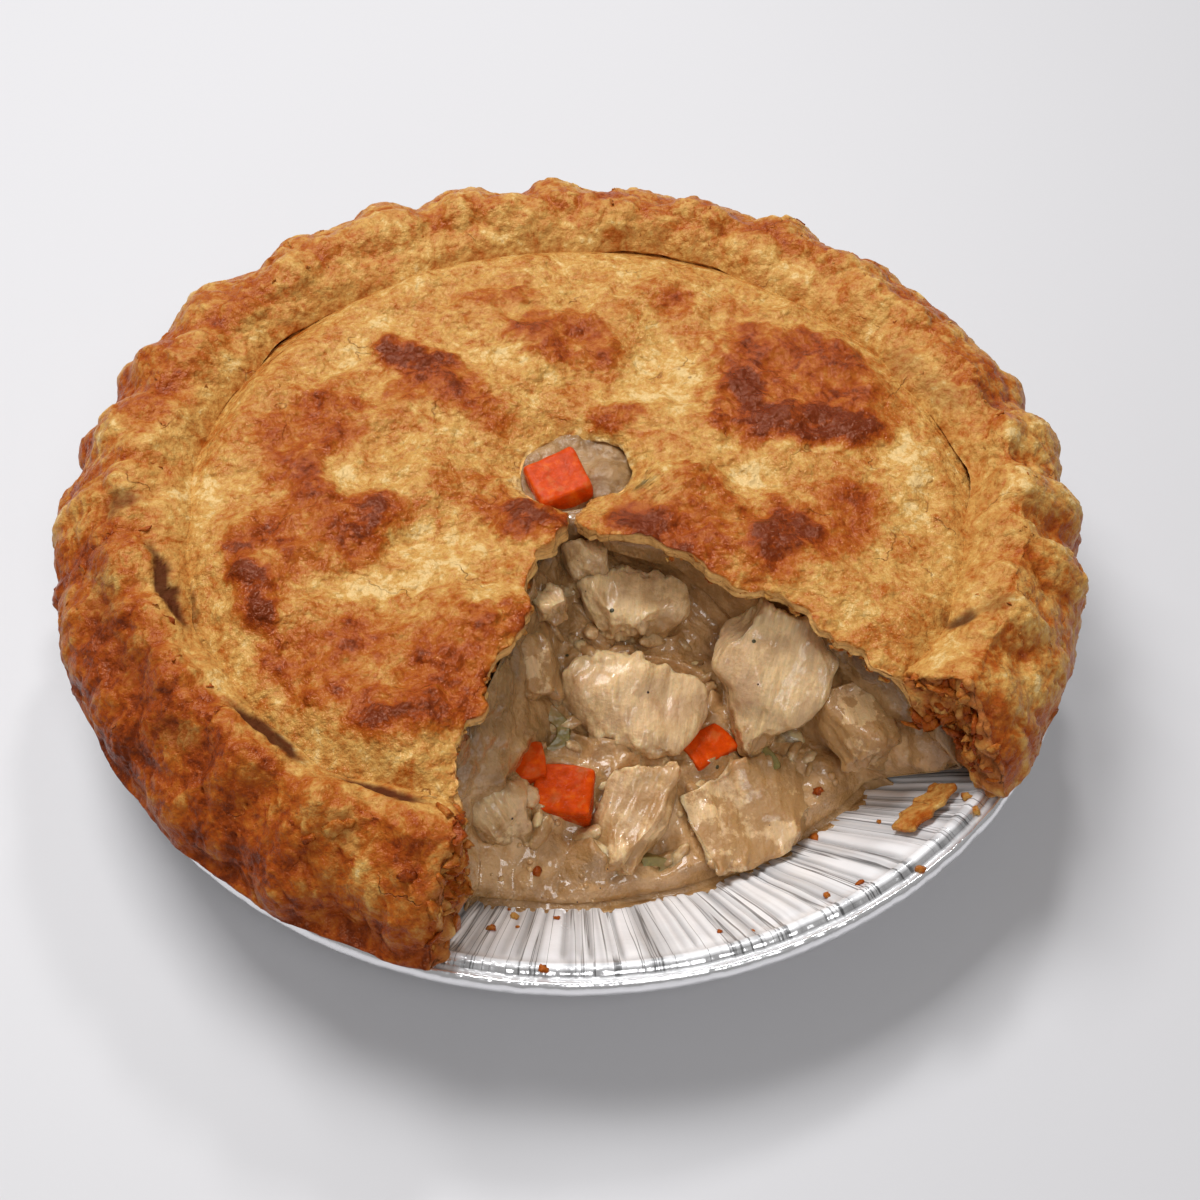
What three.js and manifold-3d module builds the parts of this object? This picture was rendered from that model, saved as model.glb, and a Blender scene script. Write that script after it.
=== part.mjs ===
// A turkey pot pie in its foil tin, with one wedge taken out.
// Millimetres, +Z up. The origin is the middle of the tin's flat base, and the wedge
// opens towards -Y and a little towards +X.

import * as THREE from "three";
import { mergeVertices } from "three/addons/utils/BufferGeometryUtils.js";
import Module from "manifold-3d";

const wasm = await Module();
wasm.setup();

// The gap that touching pieces keep.
const GAP = 0.35;

// The foil tin: a flat base, a pleated wall and a rolled rim.
const FOIL = 0.7;
const BASE_RADIUS = 79;
const MOUTH_RADIUS = 106.6;
const TIN_RADIUS = 113.5;
const TIN_HEIGHT = 28;
const CURL_DEPTH = 4;
const CURL_WIDTH = 2.6;
const PLEATS = 72;
const PLEAT_DEPTH = 0.55;

// The crust: a thin lid, and a rolled, crimped rim that lies on the tin's rim.
const LID_TOP = 48;
const LID_THICKNESS = 4.6;
const LID_RADIUS = 78;
const LID_RINGS = 4;
const SEAM_RADIUS = 87;
const SEAM_HEIGHT = 45.2;
const CREST_RADIUS = 101;
const CREST_HEIGHT = 52;
const BULGE_RADIUS = 121;
const FOOT_HEIGHT = TIN_HEIGHT + 0.6;
const FOOT_INNER = 97;
const FOOT_OUTER = 107.5;
const CRIMPS = 30;
const CRIMP_DEPTH = 1.4;
const CRUST_COLUMNS = 120;
const RIM_STEPS = 4;
const UNDERSIDE_STEPS = 2;

// The vent in the lid, and the crack that runs from it to the wedge.
const VENT = { x: 2, y: 6.5, width: 22, length: 24 };
const CRACK = { x: -0.6, y: -7, width: 1.6, length: 10 };

// The wedge's two cut edges from its tip outwards, seen from above.
const LEFT_CUT = [
  [0, -8], [-4, -16], [-8, -25], [-9.5, -40], [-15, -52], [-17, -62],
  [-23, -71], [-21, -84], [-20, -95], [-24, -108], [-27, -128],
];
const RIGHT_CUT = [
  [0, -8], [9, -9], [17, -10.5], [23, -14], [26, -22], [31, -26], [43, -26.5],
  [55, -44], [64, -49], [73, -54], [84, -66], [90, -73], [104, -86],
];
const JAG_STEP = 3;
const JAG_DEPTH = 0.7;

// The filling's free surface in the wedge: it slumps from under the tip to the tin's wall.
const SLUMP = { tipX: 0, tipY: -8, bearing: -69, height: 30, fall: 0.36, lowest: 2.6 };
const SCOOP_LEFT = [[-1, -6], [-7, -24], [-10, -42], [-17, -62], [-24, -76], [-25, -112]];
const SCOOP_RIGHT = [[15, -3], [28, -14], [46, -24], [58, -40], [72, -53], [90, -72]];
const SCOOP_STEPS = 11;
const SCOOP_FACE = 0.16;
const FILLING_COLUMNS = 54;

// Pieces in the filling: middle, size along the piece's own axes, and turns about X, Y, Z in degrees.
const TURKEY = [
  { at: [13.5, -18.5, 27.5], size: [27, 15, 14], turn: [12, 0, -4] },
  { at: [15, -40, 18.5], size: [32, 21, 15], turn: [22, 4, -6] },
  { at: [43.5, -38, 26], size: [26, 33, 13], turn: [41, 0, -20] },
  { at: [13.5, -63.5, 11], size: [14, 25, 11], turn: [14, 0, -22] },
  { at: [38.5, -61.5, 8.5], size: [31, 24, 9], turn: [14, 3, 8] },
  { at: [62, -44.5, 21.5], size: [19, 18, 18], turn: [10, 12, 20] },
  { at: [-8, -36.5, 29], size: [9, 17, 17], turn: [20, -14, 8] },
  { at: [-15.5, -65, 15.5], size: [15, 16, 14], turn: [10, 10, 30] },
  { at: [2.5, -11.5, 34], size: [11, 9, 12], turn: [0, 8, 15] },
  { at: [-5.6, -26, 39.2], size: [7, 8, 6.4], turn: [0, 0, 20] },
];
const CARROT = [
  { at: [-3.6, 3.6, 42.2], size: [12.5, 12.5, 12.5], turn: [6, -8, 24] },
  { at: [-9.4, -55, 17.2], size: [7.5, 8.5, 8], turn: [10, 0, 10] },
  { at: [-1.6, -60, 13.6], size: [13, 11, 10.5], turn: [14, 0, -8] },
  { at: [29.5, -47.5, 13.4], size: [11, 8, 7], turn: [10, 0, 35] },
];
const CELERY = [
  { at: [19.5, -71.5, 5.6], size: [9, 7, 5], turn: [50, 0, 20] },
  { at: [43, -50, 12.6], size: [12, 9, 6], turn: [30, 0, -25] },
  { at: [-2.5, -45.5, 17.4], size: [8, 16, 5], turn: [28, 0, 12] },
];

// A broken flake of crust that lies on the tin's wall.
const FLAKE = { at: [73.5, -68.1, 23.3], size: [15, 8, 1.3], turn: [42.5, 0, -132.8], wave: 0.4 };

const FINISH = {
  foil: { color: 0xd9dbdd, roughness: 0.28, metalness: 1 },
  crust: { color: 0xd9a35a, roughness: 0.6, metalness: 0 },
  gravy: { color: 0xb29a78, roughness: 0.3, metalness: 0 },
  turkey: { color: 0xdcc7a6, roughness: 0.5, metalness: 0 },
  carrot: { color: 0xe2561b, roughness: 0.35, metalness: 0 },
  celery: { color: 0x8c8f55, roughness: 0.35, metalness: 0 },
};

// Solids

function solidOf(geometry) {
  const bare = geometry.clone();
  bare.deleteAttribute("normal");
  bare.deleteAttribute("uv");
  const merged = mergeVertices(bare, 1e-3);
  return new wasm.Manifold(
    new wasm.Mesh({
      numProp: 3,
      vertProperties: merged.attributes.position.array,
      triVerts: new Uint32Array(merged.index.array),
    }),
  );
}

// The largest body of a solid, without the scraps that a cut may leave.
function mainBody(solid) {
  const bodies = solid.decompose();
  return bodies.reduce((largest, body) => (body.volume() > largest.volume() ? body : largest));
}

function meshOf(name, solid, finish) {
  const faces = solid.getMesh();
  const geometry = new THREE.BufferGeometry();
  geometry.setAttribute("position", new THREE.BufferAttribute(faces.vertProperties, 3));
  geometry.setIndex(new THREE.BufferAttribute(faces.triVerts, 1));
  geometry.computeVertexNormals();
  const mesh = new THREE.Mesh(geometry, new THREE.MeshStandardMaterial(finish));
  mesh.name = name;
  return mesh;
}

function moveVertices(geometry, move) {
  const places = geometry.attributes.position;
  const point = new THREE.Vector3();
  for (let i = 0; i < places.count; i += 1) {
    move(point.fromBufferAttribute(places, i));
    places.setXYZ(i, point.x, point.y, point.z);
  }
  return geometry;
}

// A section turned about +Z. Its points are [radius, height].
function turned(section, columns) {
  const points = section.map(([radius, height]) => new THREE.Vector2(radius, height));
  return new THREE.LatheGeometry(points, columns).rotateX(Math.PI / 2);
}

// An upright prism over an outline of [x, y] points.
function prism(outline, bottom, top) {
  const shape = new THREE.Shape(outline.map(([x, y]) => new THREE.Vector2(x, y)));
  const geometry = new THREE.ExtrudeGeometry(shape, { depth: top - bottom, bevelEnabled: false });
  return geometry.translate(0, 0, bottom);
}

// Forms

function easeBetween(low, high, value) {
  return THREE.MathUtils.smoothstep(value, low, high);
}

// The point at a share of the way along a line of [x, y] points.
function along(line, share) {
  const position = share * (line.length - 1);
  const i = Math.min(Math.floor(position), line.length - 2);
  const part = position - i;
  return [0, 1].map((axis) => line[i][axis] * (1 - part) + line[i + 1][axis] * part);
}

// A cut edge with its corners kept and the stretches between them made ragged.
function ragged(line) {
  const points = [];
  let travelled = 0;
  for (let i = 0; i + 1 < line.length; i += 1) {
    const [x0, y0] = line[i];
    const [x1, y1] = line[i + 1];
    const length = Math.hypot(x1 - x0, y1 - y0);
    const steps = Math.max(1, Math.round(length / JAG_STEP));
    for (let k = 0; k < steps; k += 1) {
      const share = k / steps;
      const reach = travelled + share * length;
      const jag = k === 0 ? 0 : JAG_DEPTH * Math.sin(2.1 * reach) + 0.5 * JAG_DEPTH * Math.sin(0.9 * reach);
      points.push([
        x0 + (x1 - x0) * share - ((y1 - y0) / length) * jag,
        y0 + (y1 - y0) * share + ((x1 - x0) / length) * jag,
      ]);
    }
    travelled += length;
  }
  points.push(line[line.length - 1]);
  return points;
}

// Tin

function tinSection() {
  const lip = TIN_HEIGHT - 1.6;
  const curlInner = TIN_RADIUS - CURL_WIDTH;
  return [
    [0, 0],
    [BASE_RADIUS, 0],
    [MOUTH_RADIUS + FOIL, lip - FOIL],
    [MOUTH_RADIUS + 1.3, TIN_HEIGHT - 2 * FOIL],
    [curlInner, TIN_HEIGHT - 2 * FOIL],
    [curlInner + 0.4, TIN_HEIGHT - CURL_DEPTH + 0.2],
    [TIN_RADIUS - 0.6, TIN_HEIGHT - CURL_DEPTH],
    [TIN_RADIUS, TIN_HEIGHT - 1.8],
    [TIN_RADIUS - 1.4, TIN_HEIGHT],
    [MOUTH_RADIUS + 1.2, TIN_HEIGHT],
    [MOUTH_RADIUS, lip],
    [BASE_RADIUS - 0.6, FOIL],
    [0, FOIL],
  ];
}

// The pleats fade out at the base and at the rim.
function pleat(point) {
  const radius = Math.hypot(point.x, point.y);
  const angle = Math.atan2(point.y, point.x);
  const onWall = radius > MOUTH_RADIUS - 1 && radius < MOUTH_RADIUS + 1;
  const depth = onWall ? PLEAT_DEPTH * Math.cos(PLEATS * angle) : 0;
  point.x += depth * Math.cos(angle);
  point.y += depth * Math.sin(angle);
}

function makeTin() {
  return solidOf(moveVertices(turned(tinSection(), 2 * PLEATS), pleat));
}

// Crust

// The underside of the lid and rim, from the middle outwards.
function crustUnderside() {
  const under = LID_TOP - LID_THICKNESS;
  const path = new THREE.Path();
  path.moveTo(0, under);
  path.lineTo(LID_RADIUS, under - 0.4);
  path.quadraticCurveTo(SEAM_RADIUS + 1, under - 1, FOOT_INNER, FOOT_HEIGHT);
  path.lineTo(FOOT_OUTER, FOOT_HEIGHT);
  return path.getPoints(UNDERSIDE_STEPS).map((point) => [point.x, point.y]);
}

function crustSection() {
  const rim = new THREE.Path();
  rim.moveTo(FOOT_OUTER, FOOT_HEIGHT);
  rim.bezierCurveTo(BULGE_RADIUS, FOOT_HEIGHT, BULGE_RADIUS - 1, 44, CREST_RADIUS, CREST_HEIGHT);
  rim.bezierCurveTo(CREST_RADIUS - 4, CREST_HEIGHT + 1, SEAM_RADIUS + 4, 50, SEAM_RADIUS, SEAM_HEIGHT);
  rim.quadraticCurveTo(SEAM_RADIUS - 1.5, LID_TOP - 0.8, LID_RADIUS, LID_TOP);
  const outside = rim.getPoints(RIM_STEPS).map((point) => [point.x, point.y]);
  const lid = [];
  for (let ring = 1; ring <= LID_RINGS; ring += 1) {
    lid.push([LID_RADIUS * (1 - ring / LID_RINGS), LID_TOP]);
  }
  return [...crustUnderside(), ...outside.slice(1), ...lid];
}

// The crust leans out over the tin's rim, most at the back and at -X.
function edgeLean(angle) {
  return 2.4 * Math.sin(angle) - 2.8 * Math.cos(angle) - 3.2 * frontLeft(angle);
}

// It sags onto the tin's rim at the front left.
function edgeSag(angle) {
  return 3.5 * frontLeft(angle);
}

// From 1 at the front left to 0 a quarter turn away.
function frontLeft(angle) {
  return Math.max(0, Math.cos(angle - THREE.MathUtils.degToRad(228))) ** 2;
}

// One crimp after another, no two alike: from -1 between two crimps to 1 on a crimp.
function crimp(angle) {
  const strength = 0.75 + 0.25 * Math.sin(3 * angle + 1);
  return strength * Math.cos(CRIMPS * angle + 0.9 * Math.sin(4 * angle));
}

// The lid is puffed unevenly.
function lidSwell(x, y) {
  return 0.8 * Math.sin(x / 17 + 0.6) * Math.cos(y / 21) + 0.5 * Math.sin(x / 9 - y / 12);
}

function shapeCrust(point) {
  const radius = Math.hypot(point.x, point.y);
  const angle = Math.atan2(point.y, point.x);
  const onTop = easeBetween(LID_TOP - LID_THICKNESS + 0.5, LID_TOP - 1, point.z);
  const onRim = easeBetween(SEAM_RADIUS + 3, FOOT_OUTER, radius);
  const raised = easeBetween(FOOT_HEIGHT, FOOT_HEIGHT + 8, point.z);
  const reach = onRim * raised * (CRIMP_DEPTH * crimp(angle) + edgeLean(angle));
  point.z += onTop * (1 - onRim) * lidSwell(point.x, point.y);
  point.z += onRim * raised * (0.5 * CRIMP_DEPTH * onTop * crimp(angle) - edgeSag(angle));
  point.x += reach * Math.cos(angle);
  point.y += reach * Math.sin(angle);
}

function makeCrust() {
  const bottom = FOOT_HEIGHT - 10;
  const top = CREST_HEIGHT + 10;
  const whole = solidOf(moveVertices(turned(crustSection(), CRUST_COLUMNS), shapeCrust));
  const wedge = solidOf(prism([...ragged(LEFT_CUT), ...ragged(RIGHT_CUT).reverse().slice(0, -1)], bottom, top));
  const oval = new THREE.EllipseCurve(VENT.x, VENT.y, VENT.width / 2, VENT.length / 2);
  const vent = solidOf(prism(oval.getPoints(20).slice(0, -1).map((point) => [point.x, point.y]), bottom, top));
  const crack = new THREE.BoxGeometry(CRACK.width, CRACK.length, top - bottom);
  crack.translate(CRACK.x, CRACK.y, (top + bottom) / 2);
  return mainBody(whole.subtract(wedge).subtract(vent).subtract(solidOf(crack)));
}

// Filling

// The tin's inside up to the crust's foot, clear of the pleats.
function tinInside() {
  const wallGap = FOIL + PLEAT_DEPTH + 2 * GAP;
  return [
    [0, FOIL + GAP],
    [BASE_RADIUS - wallGap, FOIL + GAP],
    [MOUTH_RADIUS - 2 * wallGap, FOOT_HEIGHT - GAP - 0.1],
  ];
}

function fillingSection() {
  const topSide = crustUnderside().slice(0, -1).map(([radius, height]) => [radius, height - GAP - 0.1]);
  return [...tinInside(), ...topSide.reverse()];
}

// The room that the pieces lie in.
function pieceRoom() {
  const shoulder = tinInside().pop();
  return solidOf(turned([...tinInside(), [shoulder[0], CREST_HEIGHT], [0, CREST_HEIGHT]], FILLING_COLUMNS));
}

// The height of the gravy where the wedge was taken out.
function slumpHeight(x, y) {
  const bearing = THREE.MathUtils.degToRad(SLUMP.bearing);
  const away = (x - SLUMP.tipX) * Math.cos(bearing) + (y - SLUMP.tipY) * Math.sin(bearing);
  const ripple = 0.8 * Math.sin(x / 4.1 + 1) * Math.sin(y / 4.7);
  return Math.max(SLUMP.height - SLUMP.fall * away, SLUMP.lowest) + ripple;
}

// The room that the taken wedge leaves: steep at both cuts and under the tip.
function makeScoop() {
  const brim = LID_TOP + 2;
  const block = new THREE.BoxGeometry(1, 1, 1, SCOOP_STEPS, SCOOP_STEPS, 1);
  return solidOf(
    moveVertices(block, (point) => {
      const out = 0.5 - point.y;
      const across = point.x + 0.5;
      const left = along(SCOOP_LEFT, out);
      const right = along(SCOOP_RIGHT, out);
      const side = Math.min(across, 1 - across, 1.5 * out);
      const steep = 1 - Math.min(1, side / SCOOP_FACE);
      point.x = left[0] * (1 - across) + right[0] * across;
      point.y = left[1] * (1 - across) + right[1] * across;
      const low = slumpHeight(point.x, point.y);
      point.z = point.z > 0 ? brim : low + (LID_TOP - LID_THICKNESS + 0.5 - low) * steep ** 1.4;
    }),
  );
}

// Pieces

function placed(geometry, { at, turn }) {
  const angles = turn.map(THREE.MathUtils.degToRad);
  geometry.applyMatrix4(new THREE.Matrix4().makeRotationFromEuler(new THREE.Euler(...angles, "ZYX")));
  return geometry.translate(...at);
}

// A block with rounded edges and uneven sides. A higher squareness gives sharper edges.
function lump(piece, seed, squareness, unevenness, grow) {
  const half = new THREE.Vector3(...piece.size).multiplyScalar(0.5).addScalar(grow);
  const block = moveVertices(new THREE.BoxGeometry(2, 2, 2, 3, 3, 3), (point) => {
    const sum = Math.abs(point.x) ** squareness + Math.abs(point.y) ** squareness + Math.abs(point.z) ** squareness;
    const { x, y, z } = point;
    const uneven = Math.sin(2.3 * x + 1.7 * y + seed) + 0.7 * Math.sin(2.9 * z - 2.1 * x + 2 * seed);
    point.multiplyScalar((1 + unevenness * uneven) / sum ** (1 / squareness)).multiply(half);
  });
  return solidOf(placed(block, piece));
}

// A slice of celery stalk: a crescent.
function crescent(piece, grow) {
  const [width, length, thickness] = piece.size;
  const tip = -width / 2 - grow;
  const outer = length / 2 + grow;
  const inner = 0.2 * length - grow;
  const shape = new THREE.Shape();
  shape.moveTo(tip, -outer);
  shape.quadraticCurveTo(width + 3 * grow, 0, tip, outer);
  shape.lineTo(tip, inner);
  shape.quadraticCurveTo(width / 4 - grow, 0, tip, -inner);
  const depth = thickness + 2 * grow;
  const geometry = new THREE.ExtrudeGeometry(shape, { depth, bevelEnabled: false, curveSegments: 7 });
  return solidOf(placed(geometry.translate(0, 0, -depth / 2), piece));
}

function makeFlake() {
  const [width, length, thickness] = FLAKE.size;
  const patch = moveVertices(new THREE.BoxGeometry(width, length, thickness, 6, 4, 1), (point) => {
    const taper = 1 - 0.35 * Math.abs(point.x / width) - 0.2 * Math.sin(point.x);
    point.y *= taper;
    point.z += FLAKE.wave * Math.sin(point.x / 2) * Math.cos(point.y / 3);
  });
  return solidOf(placed(patch, FLAKE));
}

// Each kind gives its solid at its own size, or grown by a gap to cut its neighbours.
const PIECES = [
  ...TURKEY.map((piece, i) => ({
    name: `turkey_${i + 1}`,
    finish: FINISH.turkey,
    make: (grow) => lump(piece, i + 1, 3.6, 0.09, grow),
  })),
  ...CARROT.map((piece, i) => ({
    name: `carrot_${i + 1}`,
    finish: FINISH.carrot,
    make: (grow) => lump(piece, i + 4, 9, 0.02, grow),
  })),
  ...CELERY.map((piece, i) => ({
    name: `celery_${i + 1}`,
    finish: FINISH.celery,
    make: (grow) => crescent(piece, grow),
  })),
];

// Assembly

const pie = new THREE.Group();
let crust = makeCrust();
let filling = solidOf(turned(fillingSection(), FILLING_COLUMNS)).subtract(makeScoop());
const within = pieceRoom();
const settled = [];
for (const { name, finish, make } of PIECES) {
  const whole = make(0).intersect(within);
  const piece = mainBody(settled.reduce((solid, neighbour) => solid.subtract(neighbour), whole));
  const room = make(GAP);
  settled.push(room);
  filling = filling.subtract(room);
  crust = crust.subtract(room);
  pie.add(meshOf(name, piece, finish));
}
pie.add(meshOf("tin", makeTin(), FINISH.foil));
pie.add(meshOf("crust", mainBody(crust), FINISH.crust));
pie.add(meshOf("filling", mainBody(filling), FINISH.gravy));
pie.add(meshOf("flake", makeFlake(), FINISH.crust));

export default pie;
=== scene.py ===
"""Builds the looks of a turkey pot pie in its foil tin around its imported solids."""

import math

import bpy
import numpy as np
from bpy.props import FloatProperty, FloatVectorProperty, IntProperty, PointerProperty
from mathutils import Euler, Matrix, Vector


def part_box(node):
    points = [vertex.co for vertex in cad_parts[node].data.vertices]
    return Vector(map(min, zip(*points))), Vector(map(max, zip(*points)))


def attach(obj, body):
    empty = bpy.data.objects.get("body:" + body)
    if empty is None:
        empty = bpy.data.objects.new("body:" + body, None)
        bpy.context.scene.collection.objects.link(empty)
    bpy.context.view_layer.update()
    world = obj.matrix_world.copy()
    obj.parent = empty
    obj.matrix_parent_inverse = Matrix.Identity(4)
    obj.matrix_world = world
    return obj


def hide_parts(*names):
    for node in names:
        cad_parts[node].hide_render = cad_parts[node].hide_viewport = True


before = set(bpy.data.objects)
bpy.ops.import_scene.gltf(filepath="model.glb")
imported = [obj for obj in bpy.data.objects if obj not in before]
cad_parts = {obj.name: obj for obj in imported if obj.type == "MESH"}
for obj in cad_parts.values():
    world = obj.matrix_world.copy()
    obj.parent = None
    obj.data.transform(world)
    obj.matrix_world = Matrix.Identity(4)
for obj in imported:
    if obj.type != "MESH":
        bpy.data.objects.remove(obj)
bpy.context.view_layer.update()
TIN_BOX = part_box("tin")

bl_info = {
    "name": "Turkey pot pie",
    "version": (1, 0, 0),
    "blender": (4, 5, 0),
    "location": "View3D > Sidebar > Pie",
    "description": "Builds a turkey pot pie in its foil tin, with one wedge taken out",
    "category": "Add Mesh",
}

# Lengths below are in millimetres unless a property says otherwise.
MM = 0.001

# The wedge's two cut edges from the vent outwards, seen from above. The first three points of each
# run along the crack between the vent and the wedge. The crack's bearing parts the two edges.
LEFT_CUT = (
    (-1.4, -2), (-1.4, -8), (-2, -13), (-3.4, -19), (-7.6, -22), (-8.4, -31), (-10, -41),
    (-15, -52), (-17, -62), (-23, -71), (-21, -84), (-20, -95), (-24, -108), (-27, -128),
)
RIGHT_CUT = (
    (0.2, -2), (0.2, -8), (0.8, -14), (6, -16.6), (12, -16.2), (17, -15.4), (22, -18), (28.5, -24.5),
    (34, -28.5), (43, -30), (55, -44), (64, -49), (73, -54), (84, -66), (90, -73), (104, -86),
)
JAG_DEPTH = 1.5
CRACK_TURN = math.radians(-94.5)

# The tin's inner face, and the face that keeps the filling just off it: radius and height of the foot,
# then how far the wall climbs and how far it leans out over that climb.
WALL_FOOT = (78.4, 0.7)
WALL_CLIMB, WALL_LEAN = 25.7, 28.2
FILLING_FOOT = (77.1, 1.05)
FILLING_CLIMB, FILLING_LEAN = 27.1, 25.6

# Radii over which the tin's base turns into its wall, its wall ends, its lip starts and its roll starts.
TIN_FOOT = (79, 84)
TIN_MOUTH = (103.5, 107)
TIN_LIP = (106, 108)
TIN_ROLL = (110.5, 112)

# The line inside the filling, as radius and height, that its two ends close in on.
FILLING_CORE = (50, 22)

# The lid: its outer edge, the height of its underside, and its height by radius.
LID_EDGE = 90
LID_UNDERSIDE = 43.9
LID_RADII = (0, 74, 79, 83, 86, 88, LID_EDGE)
LID_HEIGHTS = (48, 48.3, 48, 46.9, 45, 43.6, 42.8)

# The rim's section, as radius and height: its seam with the lid, its crest, its foot and heel on the tin,
# and the middle that it closes in to at both cuts.
RIM_SEAM = (86.4, 44.2)
RIM_CREST = (101, 52)
RIM_FOOT = (107.5, 28.6)
RIM_HEEL = (97, 28.6)
RIM_CORE = (99.5, 40)

# The bearing where the rim leans in, sags and is browned most.
FRONT_LEFT = math.radians(228)

# The vent: middle and half sizes.
VENT_AT = (0.5, 6.8)
VENT_HALF = (12.3, 12)

# The gravy's top in the vent: half sizes and height.
VENT_POOL_HALF = (13, 14)
VENT_POOL_TOP = 43.2

# Browned patches on the lid, and pale ones: x, y, half length, half width, turn in degrees, strength.
LID_PATCHES = (
    (-32, 33, 21, 8, -36, 0.55), (-37, 38, 12, 6, -41, 0.5), (-59, 18, 15, 10, 66, 0.5),
    (-60, 1, 10, 6, -20, 0.35), (-75, 22, 13, 7, 43, 0.25), (-4, 48, 13, 10, -30, 0.7),
    (-19, 64, 15, 4, 17, 0.35), (-57, -16, 20, 12, 6, 0.42), (-46, -14, 9, 7, 72, 0.36),
    (-24, -1, 12, 7, -26, 0.35), (-10, -12, 9, 5, -35, 0.85), (-67, -35, 14, 4, -68, 0.8),
    (-38, -52, 27, 15, -10, 0.42), (-34, -68, 8, 5, 0, 0.65), (-53, -58, 7, 5, -21, 0.25),
    (-14, -40, 8, 6, 16, 0.5), (-26, -58, 9, 8, -76, 0.25), (53, 32, 21, 19, -3, 0.5),
    (54, 19, 14, 6, -4, 0.75), (38, 25, 13, 5, 84, 0.5), (51, 46, 19, 6, -8, 0.25),
    (28, 0, 7, 5, -20, 0.45), (33, -16, 23, 10, -7, 0.6), (46, -14, 9, 5, -88, 0.5),
    (60, -7, 11, 9, 68, 0.35), (72, -22, 9, 6, 79, 0.25), (20, 62, 11, 7, -8, 0.35),
    (12, 24, 8, 3.5, 9, 0.6), (13, -11, 8, 5, -16, 0.5), (-39, -5, 7, 6, -18, 0.2),
    (-51, 2, 5, 4, -64, -0.4), (-31, 49, 5, 4, -82, -0.35), (-32, -18, 10, 5, -8, -0.5),
    (-38, -29, 14, 4, 7, -0.5), (40, 2, 7, 4, -17, -0.4), (20, 37, 12, 10, 73, -0.35),
    (76, 6, 14, 6, -88, -0.3), (-59, 39, 16, 5, 51, -0.25),
)

# Slits and burnt spots on the rim, where the slits' dark colour is painted shade inside them and the spots
# are scorched pastry: x, y, half length, half width, turn in degrees, depth.
RIM_BURNS_AND_SLITS = (
    (-85.5, -30.5, 9, 1.6, -62, 1.6), (-59.5, -67.5, 9, 1.5, -38, 1.6), (-99, -9, 4, 3.4, 0, 0.8),
    (-99, -34, 3.4, 9, 12, 0.3), (-90, -50, 6, 4, -40, 0.3), (-78, -68, 6, 2.4, -30, 0.5),
    (81, -37, 3, 2.4, 10, 1.1), (88, -36, 3, 3, 0, 0.5), (95, 28, 4, 5, 20, 0.4),
    (85, 31, 3, 6, 25, 0.3), (77, 42, 3, 5, 40, 0.3), (-37, -80.5, 8, 1.4, -25, 1.6),
)

# The gravy's free surface in the wedge.
SLUMP_TIP = (0, -8)
SLUMP_BEARING = math.radians(-69)
SLUMP_HEIGHT = 30
SLUMP_FALL = 0.36
SLUMP_LOWEST = 2.6
SCOOP_LEFT = ((-3, -6), (-9.5, -24), (-12.5, -42), (-19, -62), (-26, -76), (-27, -112))
SCOOP_RIGHT = ((16, -2), (29, -12), (47, -22), (60, -38), (74, -51), (92, -70))
SCOOP_FACE = 0.16

# Pieces in the filling: middle, size along the piece's own axes, and turns about X, Y, Z in degrees.
# Turkey also has how much more gravy than usual clings to it, and how far its lower end narrows.
TURKEY = (
    ((13.5, -19.5, 27.5), (27, 15, 14), (12, 0, -4), -0.1, 0.5),
    ((15, -40, 18.5), (32, 21, 15), (22, 4, -6), -0.12, 0.45),
    ((43.5, -38, 26), (26, 33, 13), (41, 0, -20), -0.35, 0.7),
    ((13.5, -63.5, 11), (14, 25, 11), (14, 0, -22), 0.4, 0.2),
    ((38.5, -61.5, 8.5), (31, 24, 9), (14, 3, 8), 0.8, 0.3),
    ((62, -44.5, 21.5), (19, 18, 18), (10, 12, 20), 2.2, 0.4),
    ((-8, -36.5, 29), (9, 17, 17), (20, -14, 8), 2.2, 0.3),
    ((-15.5, -65, 15.5), (15, 16, 14), (10, 10, 30), 0.5, 0.3),
    ((2.5, -11.5, 34), (11, 9, 12), (0, 8, 15), 0.3, 0.2),
    ((-5.6, -26, 39.2), (7, 8, 6.4), (0, 0, 20), 0.1, 0.2),
)
CARROT = (
    ((-3.6, 3.6, 42.2), (12.5, 12.5, 12.5), (6, -8, 24)),
    ((-9.4, -55, 17.2), (7.5, 8.5, 8), (10, 0, 10)),
    ((-1.6, -60, 13.6), (13, 11, 10.5), (14, 0, -8)),
    ((29.5, -47.5, 13.4), (11, 8, 7), (10, 0, 35)),
)
CELERY = (
    ((19.5, -71.5, 5.6), (9, 7, 5), (50, 0, 20)),
    ((43, -50, 12.6), (12, 9, 6), (30, 0, -25)),
    ((-2.5, -45.5, 17.4), (8, 16, 5), (28, 0, 12)),
)
FLAKE = ((73.5, -68.1, 23.3), (15, 8, 1.3), (42.5, 0, -132.8))

# Steps round the tin, and the rows and columns of the grids that the larger pieces are made from.
TIN_STEPS = 1300
LID_GRID = (100, 400)
RIM_GRID = (104, 840)
GRAVY_GRID = (210, 230)
CORE_GRID = (60, 160)
VENT_GRID = (70, 70)

# Small things in the wedge lie between two radii.
SHRED_REACH = (14, 76)
SPECK_REACH = (12, 84)
BUBBLE_REACH = (66, 84)

# Thin flakes at the cuts, on the rim and on the lid: radii, depths below the top and brownness. Then the
# share of them on the rim.
RIM_CUT_FLAKES = ((87, 105), (0.1, 15), (0.3, 0.7))
LID_CUT_FLAKES = ((26, 86), (0.1, 3.8), (0.12, 0.45))
RIM_CUT_SHARE = 0.45

# Crumbs lie between two radii and about as high as the tin's rim at most. The crust rim's broken ends
# carry some between two other radii and two heights.
CRUMB_REACH = (74, 112)
CRUMB_HIGHEST = 29
END_REACH = (88, 111)
END_HEIGHTS = (29.5, 50)

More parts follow.
